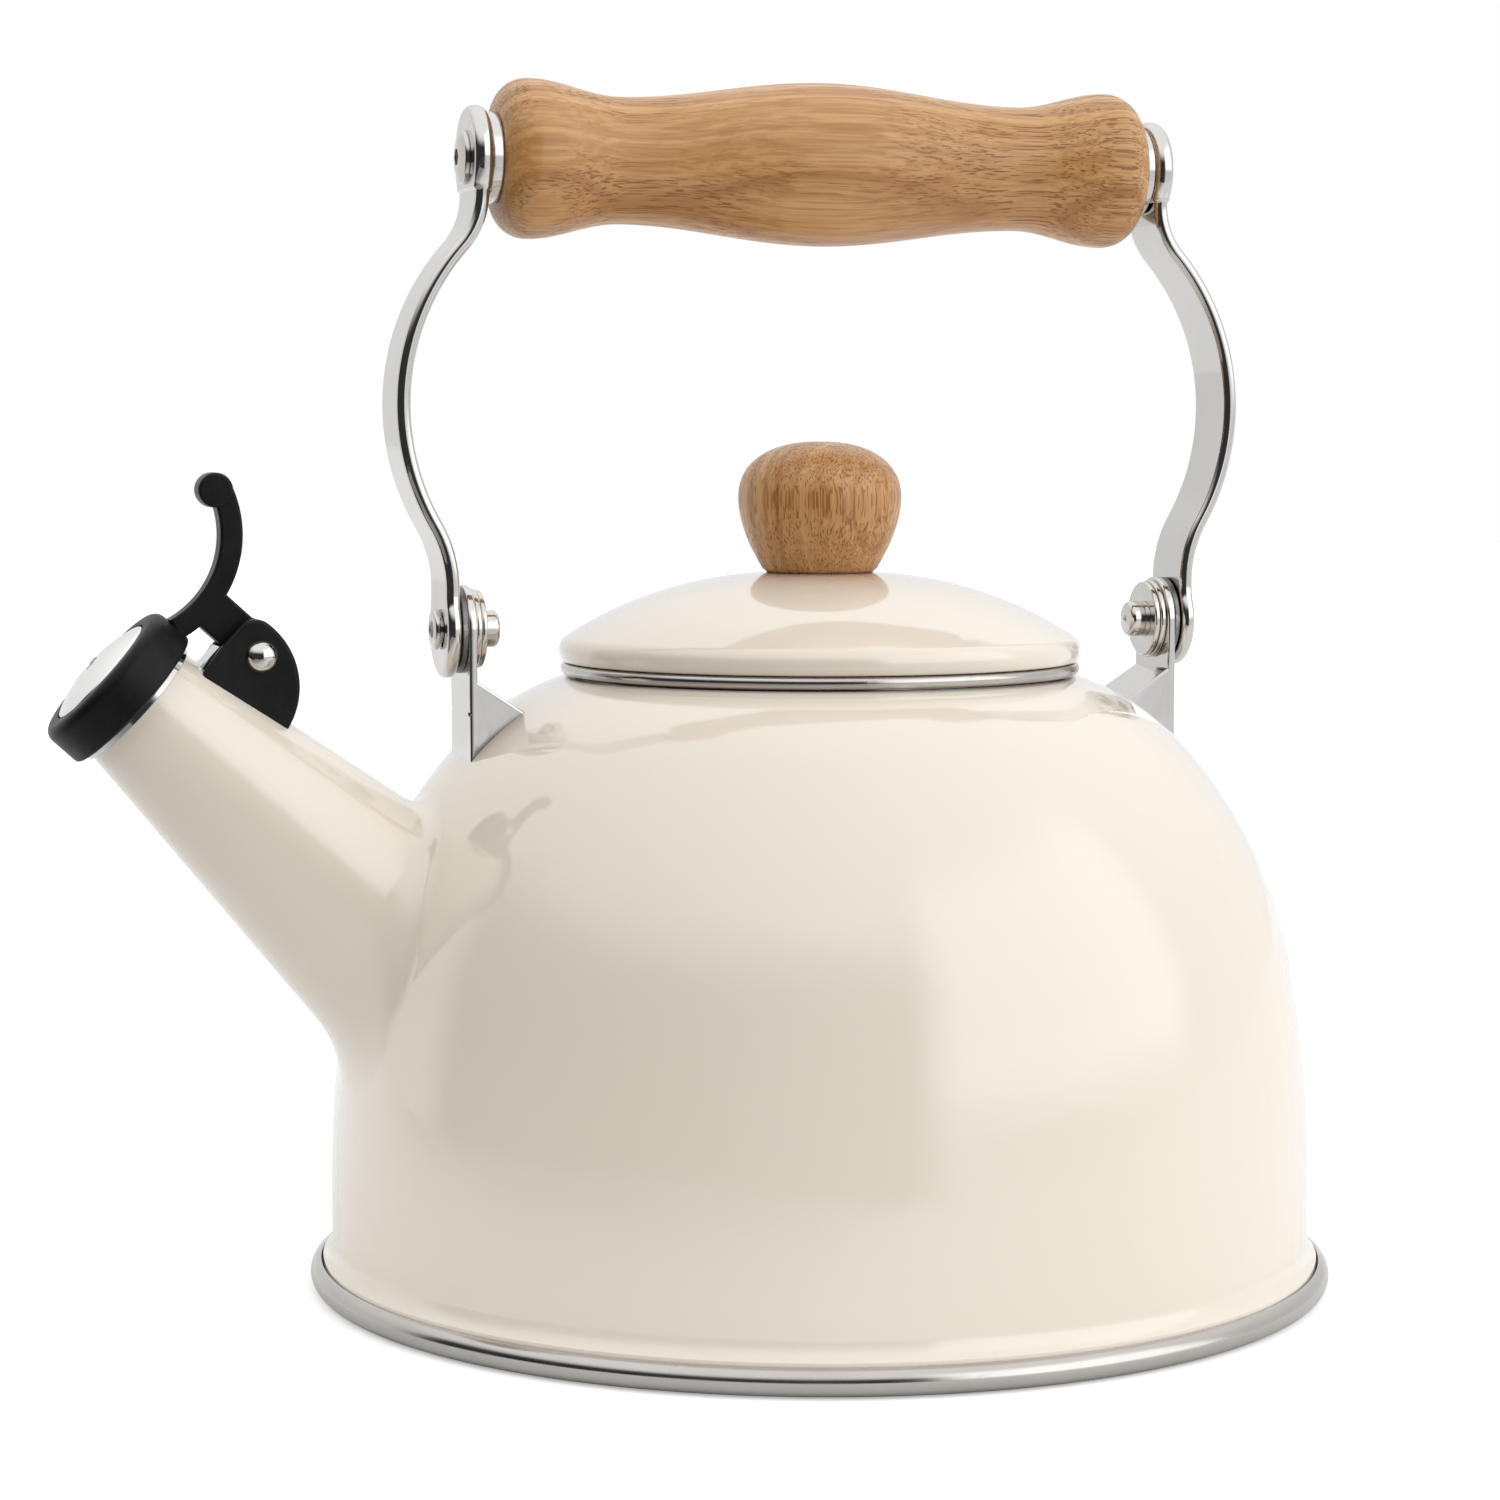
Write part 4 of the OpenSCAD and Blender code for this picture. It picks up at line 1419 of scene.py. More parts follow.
@dataclass
class Hinge:
    """The black cheeks over the steel lug, with the riveted pin and its spring."""

    spout: Spout
    inner: float = 3.9
    outer: float = 6.4
    cheek_centre: tuple[float, float] = (11.5, -8.5)
    cheek_radius: float = 14.1
    front: float = -3.9
    corner: float = 3.6
    pin: tuple[float, float] = (20.4, -10.3)
    pin_radius: float = 1.5
    rivet_radius: float = 3.1

    def _cheek(self, width: float, back: float, rounding: float) -> BMesh:
        """One rounded cheek, or the bridge between them, cut off behind a line.

        Args:
            width: the cheek's width along Y.
            back: where to cut, or 0 to keep the whole cheek.
            rounding: how far its edges are rounded.

        Returns:
            The cheek, centred on the spout.
        """
        u, v = self.cheek_centre
        corner_v = self.front - self.corner
        corner_u = u + math.sqrt((self.cheek_radius - self.corner) ** 2 - (corner_v - v) ** 2)
        lean = math.degrees(math.atan2(corner_v - v, corner_u - u))
        wire = Wire(6, self.front - 1.2).to(16.5, self.front).to(corner_u, self.front)
        wire.turn(corner_u, corner_v, lean - 90, 8)
        wire.turn(u, v, -93 - lean, 26).to(6, v - self.cheek_radius + 0.6).close()
        mesh = slab(wire, width, rounding)
        if back < 0:
            cut = bmesh.ops.bisect_plane(
                mesh, geom=mesh.verts[:] + mesh.edges[:] + mesh.faces[:],
                plane_co=(0, 0, back), plane_no=(0, 0, 1), clear_outer=True,
            )
            rims = [g for g in cut["geom_cut"] if isinstance(g, BMEdge)]
            bmesh.ops.holes_fill(mesh, edges=rims)
            bmesh.ops.recalc_face_normals(mesh, faces=mesh.faces)
        return mesh

    def housing(self) -> BMesh:
        """Both cheeks and the bridge behind them, fitted to the spout.

        Returns:
            The housing, in the spout's frame.
        """
        width = self.outer - self.inner
        middle = (self.outer + self.inner) / 2
        near = moved(self._cheek(width, 0, 0.7), shift(0, -middle, 0))
        far = moved(self._cheek(width, 0, 0.7), shift(0, middle, 0))
        bridge = self._cheek(2 * self.inner + 0.4, -18.2, 0.0)
        whole = joined(joined(near, far, Join.ADD), bridge, Join.ADD)
        cone = bmesh.new()
        length, past, bite = 60.0, 10.0, 0.25
        bmesh.ops.create_cone(
            cone, cap_ends=True, segments=128, depth=length,
            radius1=self.spout.radius + self.spout.taper * (length - past) - bite,
            radius2=self.spout.radius - self.spout.taper * past - bite,
        )
        moved(cone, shift(0, 0, past - length / 2))
        return joined(whole, cone, Join.CUT)

    def rivet(self) -> BMesh:
        """The pin with a domed head outside each cheek.

        Returns:
            The rivet, in the spout's frame.
        """
        u, v = self.pin
        sphere = self.rivet_radius
        sunk = 1.1
        foot = math.sqrt(sphere**2 - sunk**2)
        wire = Wire(0, 0).to(self.pin_radius, 0).to(self.pin_radius, self.outer).to(foot - 0.05, self.outer)
        wire.to(foot, self.outer + 0.1)
        wire.turn(0, self.outer - sunk, 90 - math.degrees(math.asin((sunk + 0.1) / sphere)) - 0.4, 10)
        wire.to(0, wire.tip.co.z)
        half = revolve(wire, 64)
        other = moved(half.copy(), Matrix.Scale(-1, 4, UP))
        whole = gathered(half, other)
        bmesh.ops.remove_doubles(whole, verts=whole.verts, dist=1e-3)
        return moved(whole, shift(u, 0, v) @ turned(90, "X"))

    def build(self, bench: Bench) -> None:
        """Makes the hinge on the spout.

        Args:
            bench: where the pieces are dressed and put on their bodies.
        """
        place = self.spout.frame
        bench.place("hinge_cheeks", moved(self.housing(), place), Plastic(), Body.KETTLE, ("hinge_housing",))
        bench.place("hinge_rivet", moved(self.rivet(), place), BrightSteel(), Body.KETTLE, ("hinge_pin",))
        bench.dress("hinge_lug", PolishedSteel())
        bench.dress("hinge_spring", BrightSteel())


# ---------------------------------------------------------------- handle


@dataclass
class Mounting:
    """A handle bracket with the bolt, spacer, washers and cap nut of its pivot."""

    vessel: Vessel
    side: Side
    width: float = 16.0
    sheet: float = 1.5
    face: float = 68.2
    pivot: float = 122.1
    tent_top: float = 113.2
    tent_reach: float = 10.2
    tent_low: float = 107.4
    bolt_radius: float = 2.5
    head_radius: float = 3.7
    head_face: float = 72.4
    spacer_radius: float = 7.9

    def _on_pivot(self, mesh: BMesh, x: float) -> BMesh:
        """Stands a part that was turned about Z on the pivot's axis."""
        return moved(mesh, shift(x, 0, self.pivot) @ turned(90, "Y"))

    def _hole(self, radius: float) -> BMesh:
        """A long rod on the pivot's axis, to cut its hole."""
        return self._on_pivot(rod(radius, 40), 50)

    def bracket(self) -> BMesh:
        """The upright web and the hollow tent that stands on the shoulder.

        Returns:
            The bracket of the rear side.
        """
        half = self.width / 2
        plate = Wire(half, 94).to(half, self.pivot).turn(0, self.pivot, 180, 40).to(-half, 94).close()
        web = moved(slab(plate, self.sheet, 0.4), turned(90, "Z"))
        web = moved(web, shift(self.face - self.sheet / 2, 0, 0))
        back = self.face - self.sheet
        inner = self.face - self.tent_reach
        tent = Wire(self.face - 0.02, 94).to(self.face - 0.02, 112.0).to(back + 0.2, self.tent_top)
        tent.to(inner + 0.6, self.tent_low + 0.34).turn(inner + 0.8, self.tent_low - 0.36, 60, 4)
        tent.to(inner, 94).close()
        block = slab(tent, self.width - 0.1, 0.45)
        hollow = Wire(back, 90).to(back, 111.4).to(inner + 1.6, 106.9).to(inner + 1.0, 90).close()
        block = joined(block, slab(hollow, self.width - 2.8), Join.CUT)
        whole = joined(web, block, Join.ADD)
        for way in (-1, 1):
            spot = shift(self.face + 0.1, way * half - 1.5, self.tent_low - 0.2)
            nick = moved(rod(0.35, 3, sides=20), spot @ turned(-90, "X"))
            whole = joined(whole, nick, Join.CUT)
        whole = joined(whole, self._hole(self.bolt_radius + 0.05), Join.CUT)
        return joined(whole, self.vessel.solid(), Join.CUT)

    def bolt(self) -> BMesh:
        """The pivot bolt, with a low domed head and a six-sided socket.

        Returns:
            The bolt of the rear side.
        """
        out = self.head_radius
        wire = Wire(0, -10.2).to(self.bolt_radius, -10.2).to(self.bolt_radius, 0).to(out - 0.15, 0)
        wire.turn(out - 0.15, 0.15, 90, 3).to(out, 0.4).turn(out - 0.6, 0.4, 62, 6).to(out * 0.55, 1.05)
        wire.turn(out * 0.55, 0.85, 80, 4).to(0, 0.95)
        socket = moved(rod(1.7, 3, sides=6), shift(0, 0, 0.35))
        return self._on_pivot(joined(revolve(wire, 64), socket, Join.CUT), self.head_face)

    def washers(self) -> BMesh:
        """Two polished washers behind the web, their rims rounded.

        Returns:
            The washers of the rear side.
        """
        discs = []
        for start, radius in ((0.0, 7.35), (1.1, 7.05)):
            wire = Wire(self.bolt_radius + 0.05, start).to(radius - 0.35, start)
            wire.turn(radius - 0.35, start + 0.35, 90, 4).to(radius, start + 0.75)
            wire.turn(radius - 0.35, start + 0.75, 90, 4).to(self.bolt_radius + 0.05, start + 1.1).close()
            discs.append(revolve(wire, 72))
        flip = shift(self.face - self.sheet, 0, self.pivot) @ turned(-90, "Y")
        return moved(gathered(*discs), flip)

    def cap_nut(self) -> BMesh:
        """The domed cap nut, with a thin flange and a vent pip at its crown.

        Returns:
            The nut of the rear side.
        """
        radius = 3.4
        wire = Wire(self.bolt_radius + 0.05, 0).to(radius, 0).to(radius, 0.35).to(radius - 0.25, 0.45)
        wire.to(radius - 0.25, 0.6).to(radius - 0.05, 0.72).to(radius - 0.05, 2.25)
        wire.turn(radius - 1.0, 2.25, 82, 10).to(0.75, 3.3).to(0.6, 3.05).to(0, 3.05)
        cup = wire.first
        wire.to(0, 1.2).to(self.bolt_radius + 0.05, 1.2)
        bmesh.ops.contextual_create(wire.mesh, geom=[wire.tip, cup])
        flip = shift(self.face - self.sheet - 2.2, 0, self.pivot) @ turned(-90, "Y")
        return moved(revolve(wire, 64), flip)

    def spacer(self) -> BMesh:
        """The dark spacer between the bracket and the strap.

        Returns:
            The spacer of the rear side.
        """
        out = self.spacer_radius
        bore = self.bolt_radius + 0.05
        wire = Wire(bore, 0).to(out - 0.15, 0).to(out, 0.15)
        wire.to(out, 0.85).to(out - 0.15, 1.0).to(bore, 1.0).close()
        return self._on_pivot(revolve(wire, 72), self.face)

    def build(self, bench: Bench) -> None:
        """Makes the bracket and everything on its pivot.

        Args:
            bench: where the pieces are dressed and put on their bodies.
        """
        parts = (
            ("bracket_plate", self.bracket(), PolishedSteel(), "bracket"),
            ("pivot_screw", self.bolt(), BrightSteel(), "pivot_bolt"),
            ("pivot_washers", self.washers(), BrightSteel(), "washers"),
            ("pivot_nut", self.cap_nut(), BrightSteel(), "cap_nut"),
            ("pivot_spacer", self.spacer(), DarkSteelAndHoleShade(), "spacer"),
        )
        for name, mesh, finish, node in parts:
            stands_for = (self.side.part(node),)
            bench.place(self.side.part(name), sided(mesh, self.side), finish, Body.KETTLE, stands_for)


@dataclass
class Strap:
    """A handle strap: a flat blank with round ends, bent to its line."""

    side: Side
    foot: tuple[float, float] = (70.8, 122.1)
    straight: float = 7.6
    low_radius: float = 22.5
    low_lean: float = 30.0
    bow_radius: float = 42.4
    high_radius: float = 14.0
    high_lean: float = 42.0
    eye_height: float = 206.4
    width: float = 14.7
    thick: float = 2.6
    foot_radius: float = 8.8
    eye_radius: float = 9.3
    eye_thick: float = 3.4
    hole_radius: float = 2.55

    def __post_init__(self) -> None:
        """Lists the stretches of the strap's line, each with its length and turn."""
        bends = (
            (self.low_radius, self.low_lean),
            (self.bow_radius, -self.low_lean - self.high_lean),
            (self.high_radius, self.high_lean),
        )
        self.stretches = [(self.straight, 0.0)]
        self.stretches += [(math.radians(abs(turn)) * radius, turn) for radius, turn in bends]
        _, top, _ = self.along(self.length)
        self.stretches.append((self.eye_height - top, 0.0))

    @property
    def length(self) -> float:
        """The length of the strap's line, from its pivot to its eye."""
        return sum(length for length, _ in self.stretches)

    def along(self, s: float) -> tuple[float, float, float]:
        """A point of the strap's line.

        Args:
            s: the distance along the line from the pivot.

        Returns:
            The point's X and Z, and the line's lean outwards from upright, in radians.
        """
        (x, z), lean = self.foot, 0.0
        left = s
        for number, (length, turn) in enumerate(self.stretches):
            last = number == len(self.stretches) - 1
            step = left if left < length or last else length
            if turn:
                angle = math.radians(turn) * step / length
                radius = length / math.radians(turn)
                x += radius * (math.cos(lean) - math.cos(lean + angle))
                z += radius * (math.sin(lean + angle) - math.sin(lean))
                lean += angle
            else:
                x += step * math.sin(lean)
                z += step * math.cos(lean)
            left -= step
            if left <= 0 and s >= 0:
                break
        return x, z, lean

    def blank(self) -> BMesh:
        """The flat blank along X, its edges rounded and its two holes cut.

        Returns:
            The blank, with its pivot end at the origin.
        """
        half = self.width / 2
        foot = math.degrees(math.asin(half / self.foot_radius))
        eye = math.degrees(math.asin(half / self.eye_radius))
        neck = math.sqrt(self.foot_radius**2 - half**2)
        throat = self.length - math.sqrt(self.eye_radius**2 - half**2)
        wire = Wire(neck, -half).to(throat, -half).turn(self.length, 0, 2 * (180 - eye), 48)
        wire.to(neck, half).turn(0, 0, 360 - 2 * foot, 48)
        bmesh.ops.remove_doubles(wire.mesh, verts=wire.mesh.verts, dist=1e-3)
        mesh = wire.mesh
        bmesh.ops.contextual_create(mesh, geom=mesh.edges)
        corners = [
            v for v in mesh.verts
            if min(abs(v.co.x - neck), abs(v.co.x - throat)) < 1e-3 and abs(abs(v.co.z) - half) < 1e-3
        ]
        bmesh.ops.bevel(
            mesh, geom=corners, offset=1.6, affect="VERTICES", segments=5, profile=0.5, material=-1,
        )
        pushed = bmesh.ops.extrude_face_region(mesh, geom=mesh.faces[:])
        raised = [g for g in pushed["geom"] if isinstance(g, BMVert)]
        bmesh.ops.translate(mesh, verts=raised, vec=(0, self.thick, 0))
        bmesh.ops.translate(mesh, verts=mesh.verts, vec=(0, -self.thick / 2, 0))
        bmesh.ops.recalc_face_normals(mesh, faces=mesh.faces)
        soften(mesh, [e for e in mesh.edges if abs(e.verts[0].co.y - e.verts[1].co.y) < 1e-5], 1.2, 7)
        for place in (0.0, self.length):
            hole = rod(self.hole_radius, 12, sides=40)
            mesh = joined(mesh, moved(hole, shift(place, 6, 0) @ turned(90, "X")), Join.CUT)
        return mesh

    def bent(self) -> BMesh:
        """The blank cut into short lengths, bent to the line, its eye thickened.

        Returns:
            The strap of the rear side.
        """
        mesh = self.blank()
        pitch = 1.5
        step_at = self.length - 5.6
        stations = [self.straight + pitch * n for n in range(int((self.length - self.straight) / pitch))]
        for station in [*stations, step_at - 0.5, step_at]:
            bmesh.ops.bisect_plane(
                mesh, geom=mesh.verts[:] + mesh.edges[:] + mesh.faces[:], dist=1e-4,
                plane_co=(station, 0, 0), plane_no=(1, 0, 0),
            )
        grow = self.eye_thick / self.thick
        for vert in mesh.verts:
            s, out, across = vert.co
            share = min(1.0, max(0.0, (s - step_at + 0.5) / 0.5))
            x, z, lean = self.along(s)
            off = out * (1 + (grow - 1) * share)
            vert.co = (x + off * math.cos(lean), across, z - off * math.sin(lean))
        bmesh.ops.recalc_face_normals(mesh, faces=mesh.faces)
        return mesh

    def build(self, bench: Bench) -> None:
        """Makes the strap for its side.

        Args:
            bench: where the pieces are dressed and put on their bodies.
        """
        name, stands_for = self.side.part("handle_strap"), (self.side.part("strap"),)
        mesh = sided(self.bent(), self.side)
        bench.place(name, mesh, PolishedSteel(), Body.HANDLE, stands_for, crisp=40)


@dataclass
class Grip:
    """The turned wooden grip with its ferrules and screws."""

    height: float = 206.4
    half: float = 61.2
    middle: float = 14.85
    neck: float = 11.4
    bulb: float = 14.3
    neck_at: float = 38.3
    bulb_at: float = 55.5
    end_radius: float = 9.0
    eye_out: float = 66.7

    def outline(self, x: float) -> float:
        """The grip's radius at a distance from its middle.

        Args:
            x: the distance.

        Returns:
            The radius.
        """
        if x < self.neck_at:
            high, share = self.middle, 1 - x / self.neck_at
        else:
            high, share = self.bulb, (x - self.neck_at) / (self.bulb_at - self.neck_at)
        return (high + self.neck) / 2 - (high - self.neck) / 2 * math.cos(math.pi * share)

    def wood(self) -> BMesh:
        """The grip, turned about its own axis, its ends eased to a small flat.

        Returns:
            The grip.
        """
        side = [(self.outline(self.bulb_at * k / 44), self.bulb_at * k / 44) for k in range(45)]
        for k in range(1, 15):
            angle = math.radians(90 * k / 14)
            radius = self.end_radius + (self.bulb - self.end_radius) * math.cos(angle)
            side.append((radius, self.bulb_at + (self.half - self.bulb_at) * math.sin(angle)))
        wire = Wire(0, -self.half).follow((r, -x) for r, x in reversed(side[1:]))
        wire.follow(side).to(0, self.half)
        return moved(revolve(wire, 128), shift(0, 0, self.height) @ turned(90, "Y"))

    def screw(self) -> BMesh:
        """A grip screw's low domed head with a six-sided socket, and its shank.

        Returns:
            The screw of the rear side.
        """
        wire = Wire(0, -20).to(2, -20).to(2, 0).to(4.7, 0).turn(4.7, 0.15, 90, 3).to(4.85, 0.35)
        wire.turn(4.15, 0.35, 55, 5).to(3.4, 1.32).to(2.2, 1.55).to(0, 1.6)
        socket = moved(rod(1.65, 3, sides=6), shift(0, 0, 0.55))
        head = joined(revolve(wire, 64), socket, Join.CUT)
        return moved(head, shift(self.eye_out, 0, self.height) @ turned(90, "Y"))

    def ferrule(self) -> BMesh:
        """The thin steel disc between the wood and the strap's eye.

        Returns:
            The disc of the rear side.
        """
        wire = Wire(2.1, 0).to(7.9, 0).turn(7.9, 0.3, 90, 4)
        wire.to(8.2, 1.8).turn(7.9, 1.8, 90, 4).to(2.1, 2.1).close()
        return moved(revolve(wire, 72), shift(self.half, 0, self.height) @ turned(90, "Y"))

    def build(self, bench: Bench) -> None:
        """Makes the grip and what holds it at both ends.

        Args:
            bench: where the pieces are dressed and put on their bodies.
        """
        bench.place("wooden_grip", self.wood(), GripWood(), Body.HANDLE, ("grip",), crisp=60)
        for side in Side:
            parts = (
                ("eye_screw", self.screw(), BrightSteel(), "grip_screw"),
                ("end_ferrule", self.ferrule(), PolishedSteel(), "ferrule"),
            )
            for name, mesh, finish, node in parts:
                bench.place(side.part(name), sided(mesh, side), finish, Body.HANDLE, (side.part(node),))
            bench.dress(side.part("grip_insert"), Brass())


# ---------------------------------------------------------------- lid


@dataclass
class Lid:
    """The enamelled lid with its steel band, skirt and wooden knob."""

    top: float = 131.7
    flat: float = 7.5
    dome_radius: float = 73.0
    radius: float = 48.45
    edge_radius: float = 3.22
    edge_height: float = 117.4
    sheet: float = 1.0
    band_low: float = 112.96
    band_high: float = 115.31
    band_radius: float = 48.15
    skirt_radius: float = 44.8
    skirt_low: float = 105.0
    knob_radius: float = 15.1
    knob_foot: float = 10.2
    knob_height: float = 24.1
    knob_wide: float = 13.6

    def shell(self) -> BMesh:
        """The lid's dome, rolled under at its edge.

        Returns:
            The dome.
        """
        centre = self.top - self.dome_radius
        edge = self.radius - self.edge_radius
        meet = math.degrees(math.atan2(self.edge_height - centre, edge - self.flat))
        inner = self.dome_radius - self.sheet
        wire = Wire(0, self.top).to(self.flat, self.top).turn(self.flat, centre, meet - 90, 28)
        wire.turn(edge, self.edge_height, -35 - meet, 18)
        hem = math.radians(-35)
        slim = self.edge_radius - self.sheet
        middle = slim + self.sheet / 2
        wire.turn(edge + middle * math.cos(hem), self.edge_height + middle * math.sin(hem), -180, 4)
        wire.turn(edge, self.edge_height, 35 + meet, 10)
        wire.turn(self.flat, centre, 90 - meet, 14).to(0, centre + inner)
        return revolve(wire, 224)

    def band(self) -> BMesh:
        """The steel band under the lid's edge, with a rounded outer face.

        Returns:
            The band.
        """
        low, high, out = self.band_low, self.band_high, self.band_radius
        half = (high - low) / 2
        wire = Wire(self.skirt_radius, low).to(out - half, low).turn(out - half, low + half, 180, 14)
        wire.to(self.skirt_radius, high).close()
        return revolve(wire, 224)

    def skirt(self) -> BMesh:
        """The ring that drops into the mouth, its lower edge turned in.

        Returns:
            The ring.
        """
        inner = self.skirt_radius - 1
        centre = self.top - self.dome_radius
        under, off = self.dome_radius - self.sheet, self.skirt_radius - self.flat
        high = centre + math.sqrt(under**2 - off**2) - 0.1
        low, eased = self.skirt_low, self.skirt_low + 0.3
        wire = Wire(inner + 0.2, low).to(inner + 0.8, low).to(self.skirt_radius, eased)
        wire.to(self.skirt_radius, high).to(inner, high).to(inner, eased).close()
        return revolve(wire, 192)

    def knob(self) -> BMesh:
        """The turned knob: a waisted foot under a rounded crown.

        Returns:
            The knob, standing on the lid's crown.
        """
        high = self.knob_height - self.knob_wide
        spread = self.knob_radius - self.knob_foot
        rise = [k / 20 for k in range(1, 21)]
        lower = [(self.knob_radius - spread * (1 - t) ** 1.75, self.knob_wide * t) for t in rise]
        crown = []
        for k in range(1, 25):
            angle = math.radians(90 * k / 24)
            out = self.knob_radius * max(0.0, math.cos(angle)) ** 0.87
            crown.append((out, self.knob_wide + high * math.sin(angle) ** 0.87))
        crown[-1] = (0.0, self.knob_height)
        wire = Wire(0, 0).to(self.knob_foot - 0.4, 0).to(self.knob_foot - 0.05, 0.35)
        wire.follow(lower).follow(crown)
        return moved(revolve(wire, 128), shift(0, 0, self.top))

    def build(self, bench: Bench) -> None:
        """Makes the lid and dresses its fixings.

        Args:
            bench: where the pieces are dressed and put on their bodies.
        """
        bench.place("lid_dome", self.shell(), Enamel(), Body.LID, ("lid_shell",), crisp=50)
        bench.place("lid_band", self.band(), RolledSteel(), Body.LID, ("lid_rim",))
        bench.place("lid_collar", self.skirt(), BrightSteel(), Body.LID, ("lid_skirt",))
        bench.place("lid_knob", self.knob(), KnobWood(), Body.LID, ("knob",), crisp=60)
        bench.dress("knob_screw", BrightSteel())
        bench.dress("knob_washer", BrightSteel())


# ---------------------------------------------------------------- studio


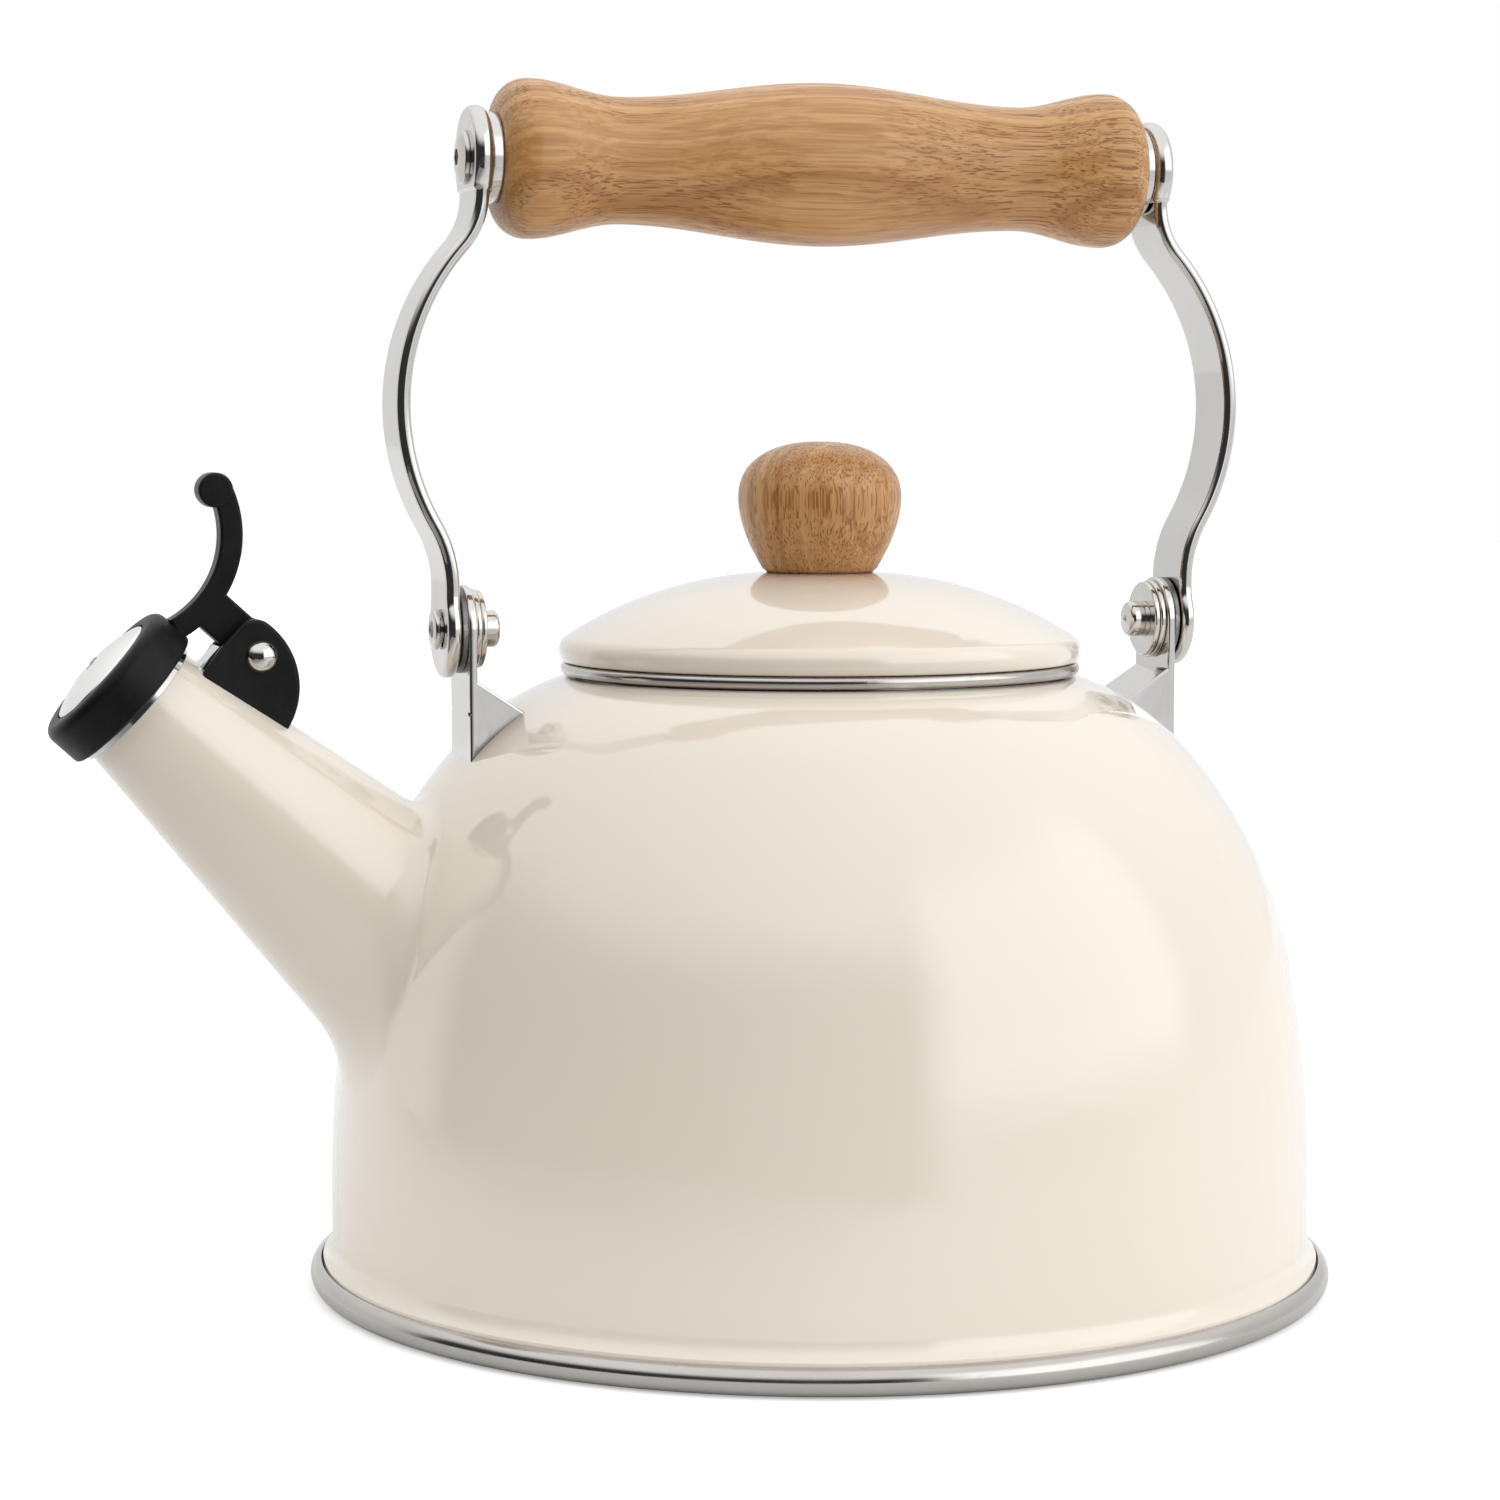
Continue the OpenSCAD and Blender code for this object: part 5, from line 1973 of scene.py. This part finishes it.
@dataclass
class Studio:
    """A white room, dark behind the camera's left, with a big soft window at its right."""

    eye: tuple[float, float, float] = (-0.2125, -0.6540, 0.1572)
    heading: float = -18.0
    turn_left: float = 1.075
    pitch: float = 4.877
    lens: float = 88.92
    dark_middle: float = -54.0
    dark_half: float = 62.0
    window_middle: float = 44.0
    window_half: float = 33.0
    room: float = 0.87
    ceiling: float = 1.25
    window: float = 2.0
    floor_half: float = 2.25
    floor_middle: tuple[float, float] = (1.75, 1.83)
    floor_glow: float = 0.4
    floor_tone: float = 0.84
    floor_shade: float = 0.25
    fill_place: tuple[float, float, float] = (-1.05, -0.35, 0.30)
    fill_size: tuple[float, float] = (0.9, 0.6)
    fill_power: float = 1.7

    @staticmethod
    def _towards(azimuth: float) -> tuple[float, float, float]:
        """A level direction, measured from the front towards the right."""
        angle = math.radians(azimuth)
        return math.sin(angle), -math.cos(angle), 0.0

    def camera(self) -> None:
        """Sets the camera at the height of the lid, a little to the spout's side."""
        data = bpy.data.cameras.new("studio camera")
        data.lens = self.lens
        data.sensor_width = 36.0
        data.clip_start = 0.01
        camera = bpy.data.objects.new("studio camera", data)
        camera.location = self.eye
        pitch, heading = math.radians(90 - self.pitch), math.radians(self.heading + self.turn_left)
        camera.rotation_euler = (pitch, 0, heading)
        bpy.context.scene.collection.objects.link(camera)
        bpy.context.scene.camera = camera

    def floor(self) -> None:
        """Lays the pale table top, which ends a little in front of the kettle."""
        mesh = bmesh.new()
        bmesh.ops.create_grid(mesh, x_segments=1, y_segments=1, size=self.floor_half)
        bmesh.ops.translate(mesh, verts=mesh.verts, vec=(*self.floor_middle, 0))
        data = bpy.data.meshes.new("floor")
        mesh.to_mesh(data)
        mesh.free()
        paint = bpy.data.materials.new("floor paint")
        paint.use_nodes = True
        paint.node_tree.nodes.clear()
        recipe = Recipe(paint.node_tree)
        place = recipe.node("ShaderNodeTexCoord").outputs["Object"]
        seen = recipe.node("ShaderNodeLightPath").outputs["Is Camera Ray"]
        values = {0: place, 1: self._towards(self.dark_middle)}
        off = recipe.node("ShaderNodeVectorMath", values, operation="DOT_PRODUCT").outputs["Value"]
        shade = recipe.times(recipe.ease(off, 0.08, 0.36), recipe.maths("SUBTRACT", 1.0, seen))
        values = {"Roughness": 0.9, "Emission Color": (1.0, 1.0, 1.0)}
        shader = recipe.node("ShaderNodeBsdfPrincipled", values)
        lit, dim = ((value,) * 3 for value in (self.floor_tone, self.floor_shade))
        recipe.feed(shader.inputs["Base Color"], recipe.mix(shade, lit, dim))
        recipe.feed(shader.inputs["Emission Strength"], recipe.times(seen, self.floor_glow))
        recipe.node("ShaderNodeOutputMaterial", {"Surface": shader.outputs[0]})
        data.materials.append(paint)
        floor = bpy.data.objects.new("floor", data)
        bpy.context.scene.collection.objects.link(floor)

    def _sector(self, recipe: Recipe, level: Value, middle: float, half: float, blur: float) -> Socket:
        """A soft-edged mask of part of the horizon.

        Args:
            recipe: the world's nodes.
            level: the level part of the direction looked in.
            middle: the middle of the part.
            half: half of its width, in degrees.
            blur: half of its edges' width, in degrees.

        Returns:
            The mask.
        """
        values = {0: level, 1: self._towards(middle)}
        facing = recipe.node("ShaderNodeVectorMath", values, operation="DOT_PRODUCT").outputs["Value"]
        return recipe.ease(facing, math.cos(math.radians(half + blur)), math.cos(math.radians(half - blur)))

    def surroundings(self) -> None:
        """Paints the room, its dark part and its window on the world."""
        world = bpy.data.worlds.new("studio")
        world.use_nodes = True
        world.node_tree.nodes.clear()
        recipe = Recipe(world.node_tree)
        way = recipe.node("ShaderNodeTexCoord").outputs["Generated"]
        height = recipe.node("ShaderNodeSeparateXYZ", {0: way}).outputs["Z"]
        flat = recipe.stretched(way, (1.0, 1.0, 0.0))
        level = recipe.node("ShaderNodeVectorMath", {0: flat}, operation="NORMALIZE").outputs[0]
        wall, ceiling, light = ((value,) * 3 for value in (self.room, self.ceiling, self.window))
        tone = recipe.mix(recipe.ease(height, 0.2, 0.9), wall, ceiling)
        dark = self._sector(recipe, level, self.dark_middle, self.dark_half, 7.0)
        low = recipe.ease(height, 0.65, 0.3)
        tone = recipe.mix(recipe.times(recipe.times(dark, low), 0.95), tone, (0.0, 0.0, 0.0))
        pane = recipe.times(recipe.ease(height, -0.03, 0.12), recipe.ease(height, 0.85, 0.6))
        pane = recipe.times(pane, self._sector(recipe, level, self.window_middle, self.window_half, 7.0))
        tone = recipe.mix(pane, tone, light)
        seen = recipe.node("ShaderNodeLightPath").outputs["Is Camera Ray"]
        tone = recipe.mix(seen, tone, (1.0, 1.0, 1.0))
        back = recipe.node("ShaderNodeBackground", {"Color": tone, "Strength": 1.0})
        recipe.node("ShaderNodeOutputWorld", {"Surface": back.outputs[0]})
        bpy.context.scene.world = world

    def fill(self) -> None:
        """Hangs a soft fill light on the left, which polished metal doesn't mirror."""
        data = bpy.data.lights.new("left fill", "AREA")
        data.shape = "RECTANGLE"
        data.size, data.size_y = self.fill_size
        data.energy = self.fill_power
        data.color = (1.0, 0.97, 0.93)
        light = bpy.data.objects.new("left fill", data)
        light.location = self.fill_place
        aim = Vector((0.0, 0.0, 0.08)) - light.location
        light.rotation_euler = aim.to_track_quat("-Z", "Y").to_euler()
        light.visible_glossy = False
        bpy.context.scene.collection.objects.link(light)

    def build(self) -> None:
        """Sets up the whole studio."""
        self.camera()
        self.floor()
        self.surroundings()
        self.fill()
        bpy.context.scene.view_settings.view_transform = "Standard"
        log.info("studio ready")


def main() -> None:
    """Builds the kettle, sub-assembly by sub-assembly, in its studio."""
    logging.basicConfig(level=logging.INFO, format="%(message)s")
    bench = Bench(Effects())
    vessel = Vessel()
    spout = Spout(vessel)
    vessel.build(bench, spout)
    spout.build(bench)
    Whistle(spout).build(bench)
    Hinge(spout).build(bench)
    for side in Side:
        Mounting(vessel, side).build(bench)
        Strap(side).build(bench)
    Grip().build(bench)
    Lid().build(bench)
    Studio().build()


if __name__ == "__main__":
    main()
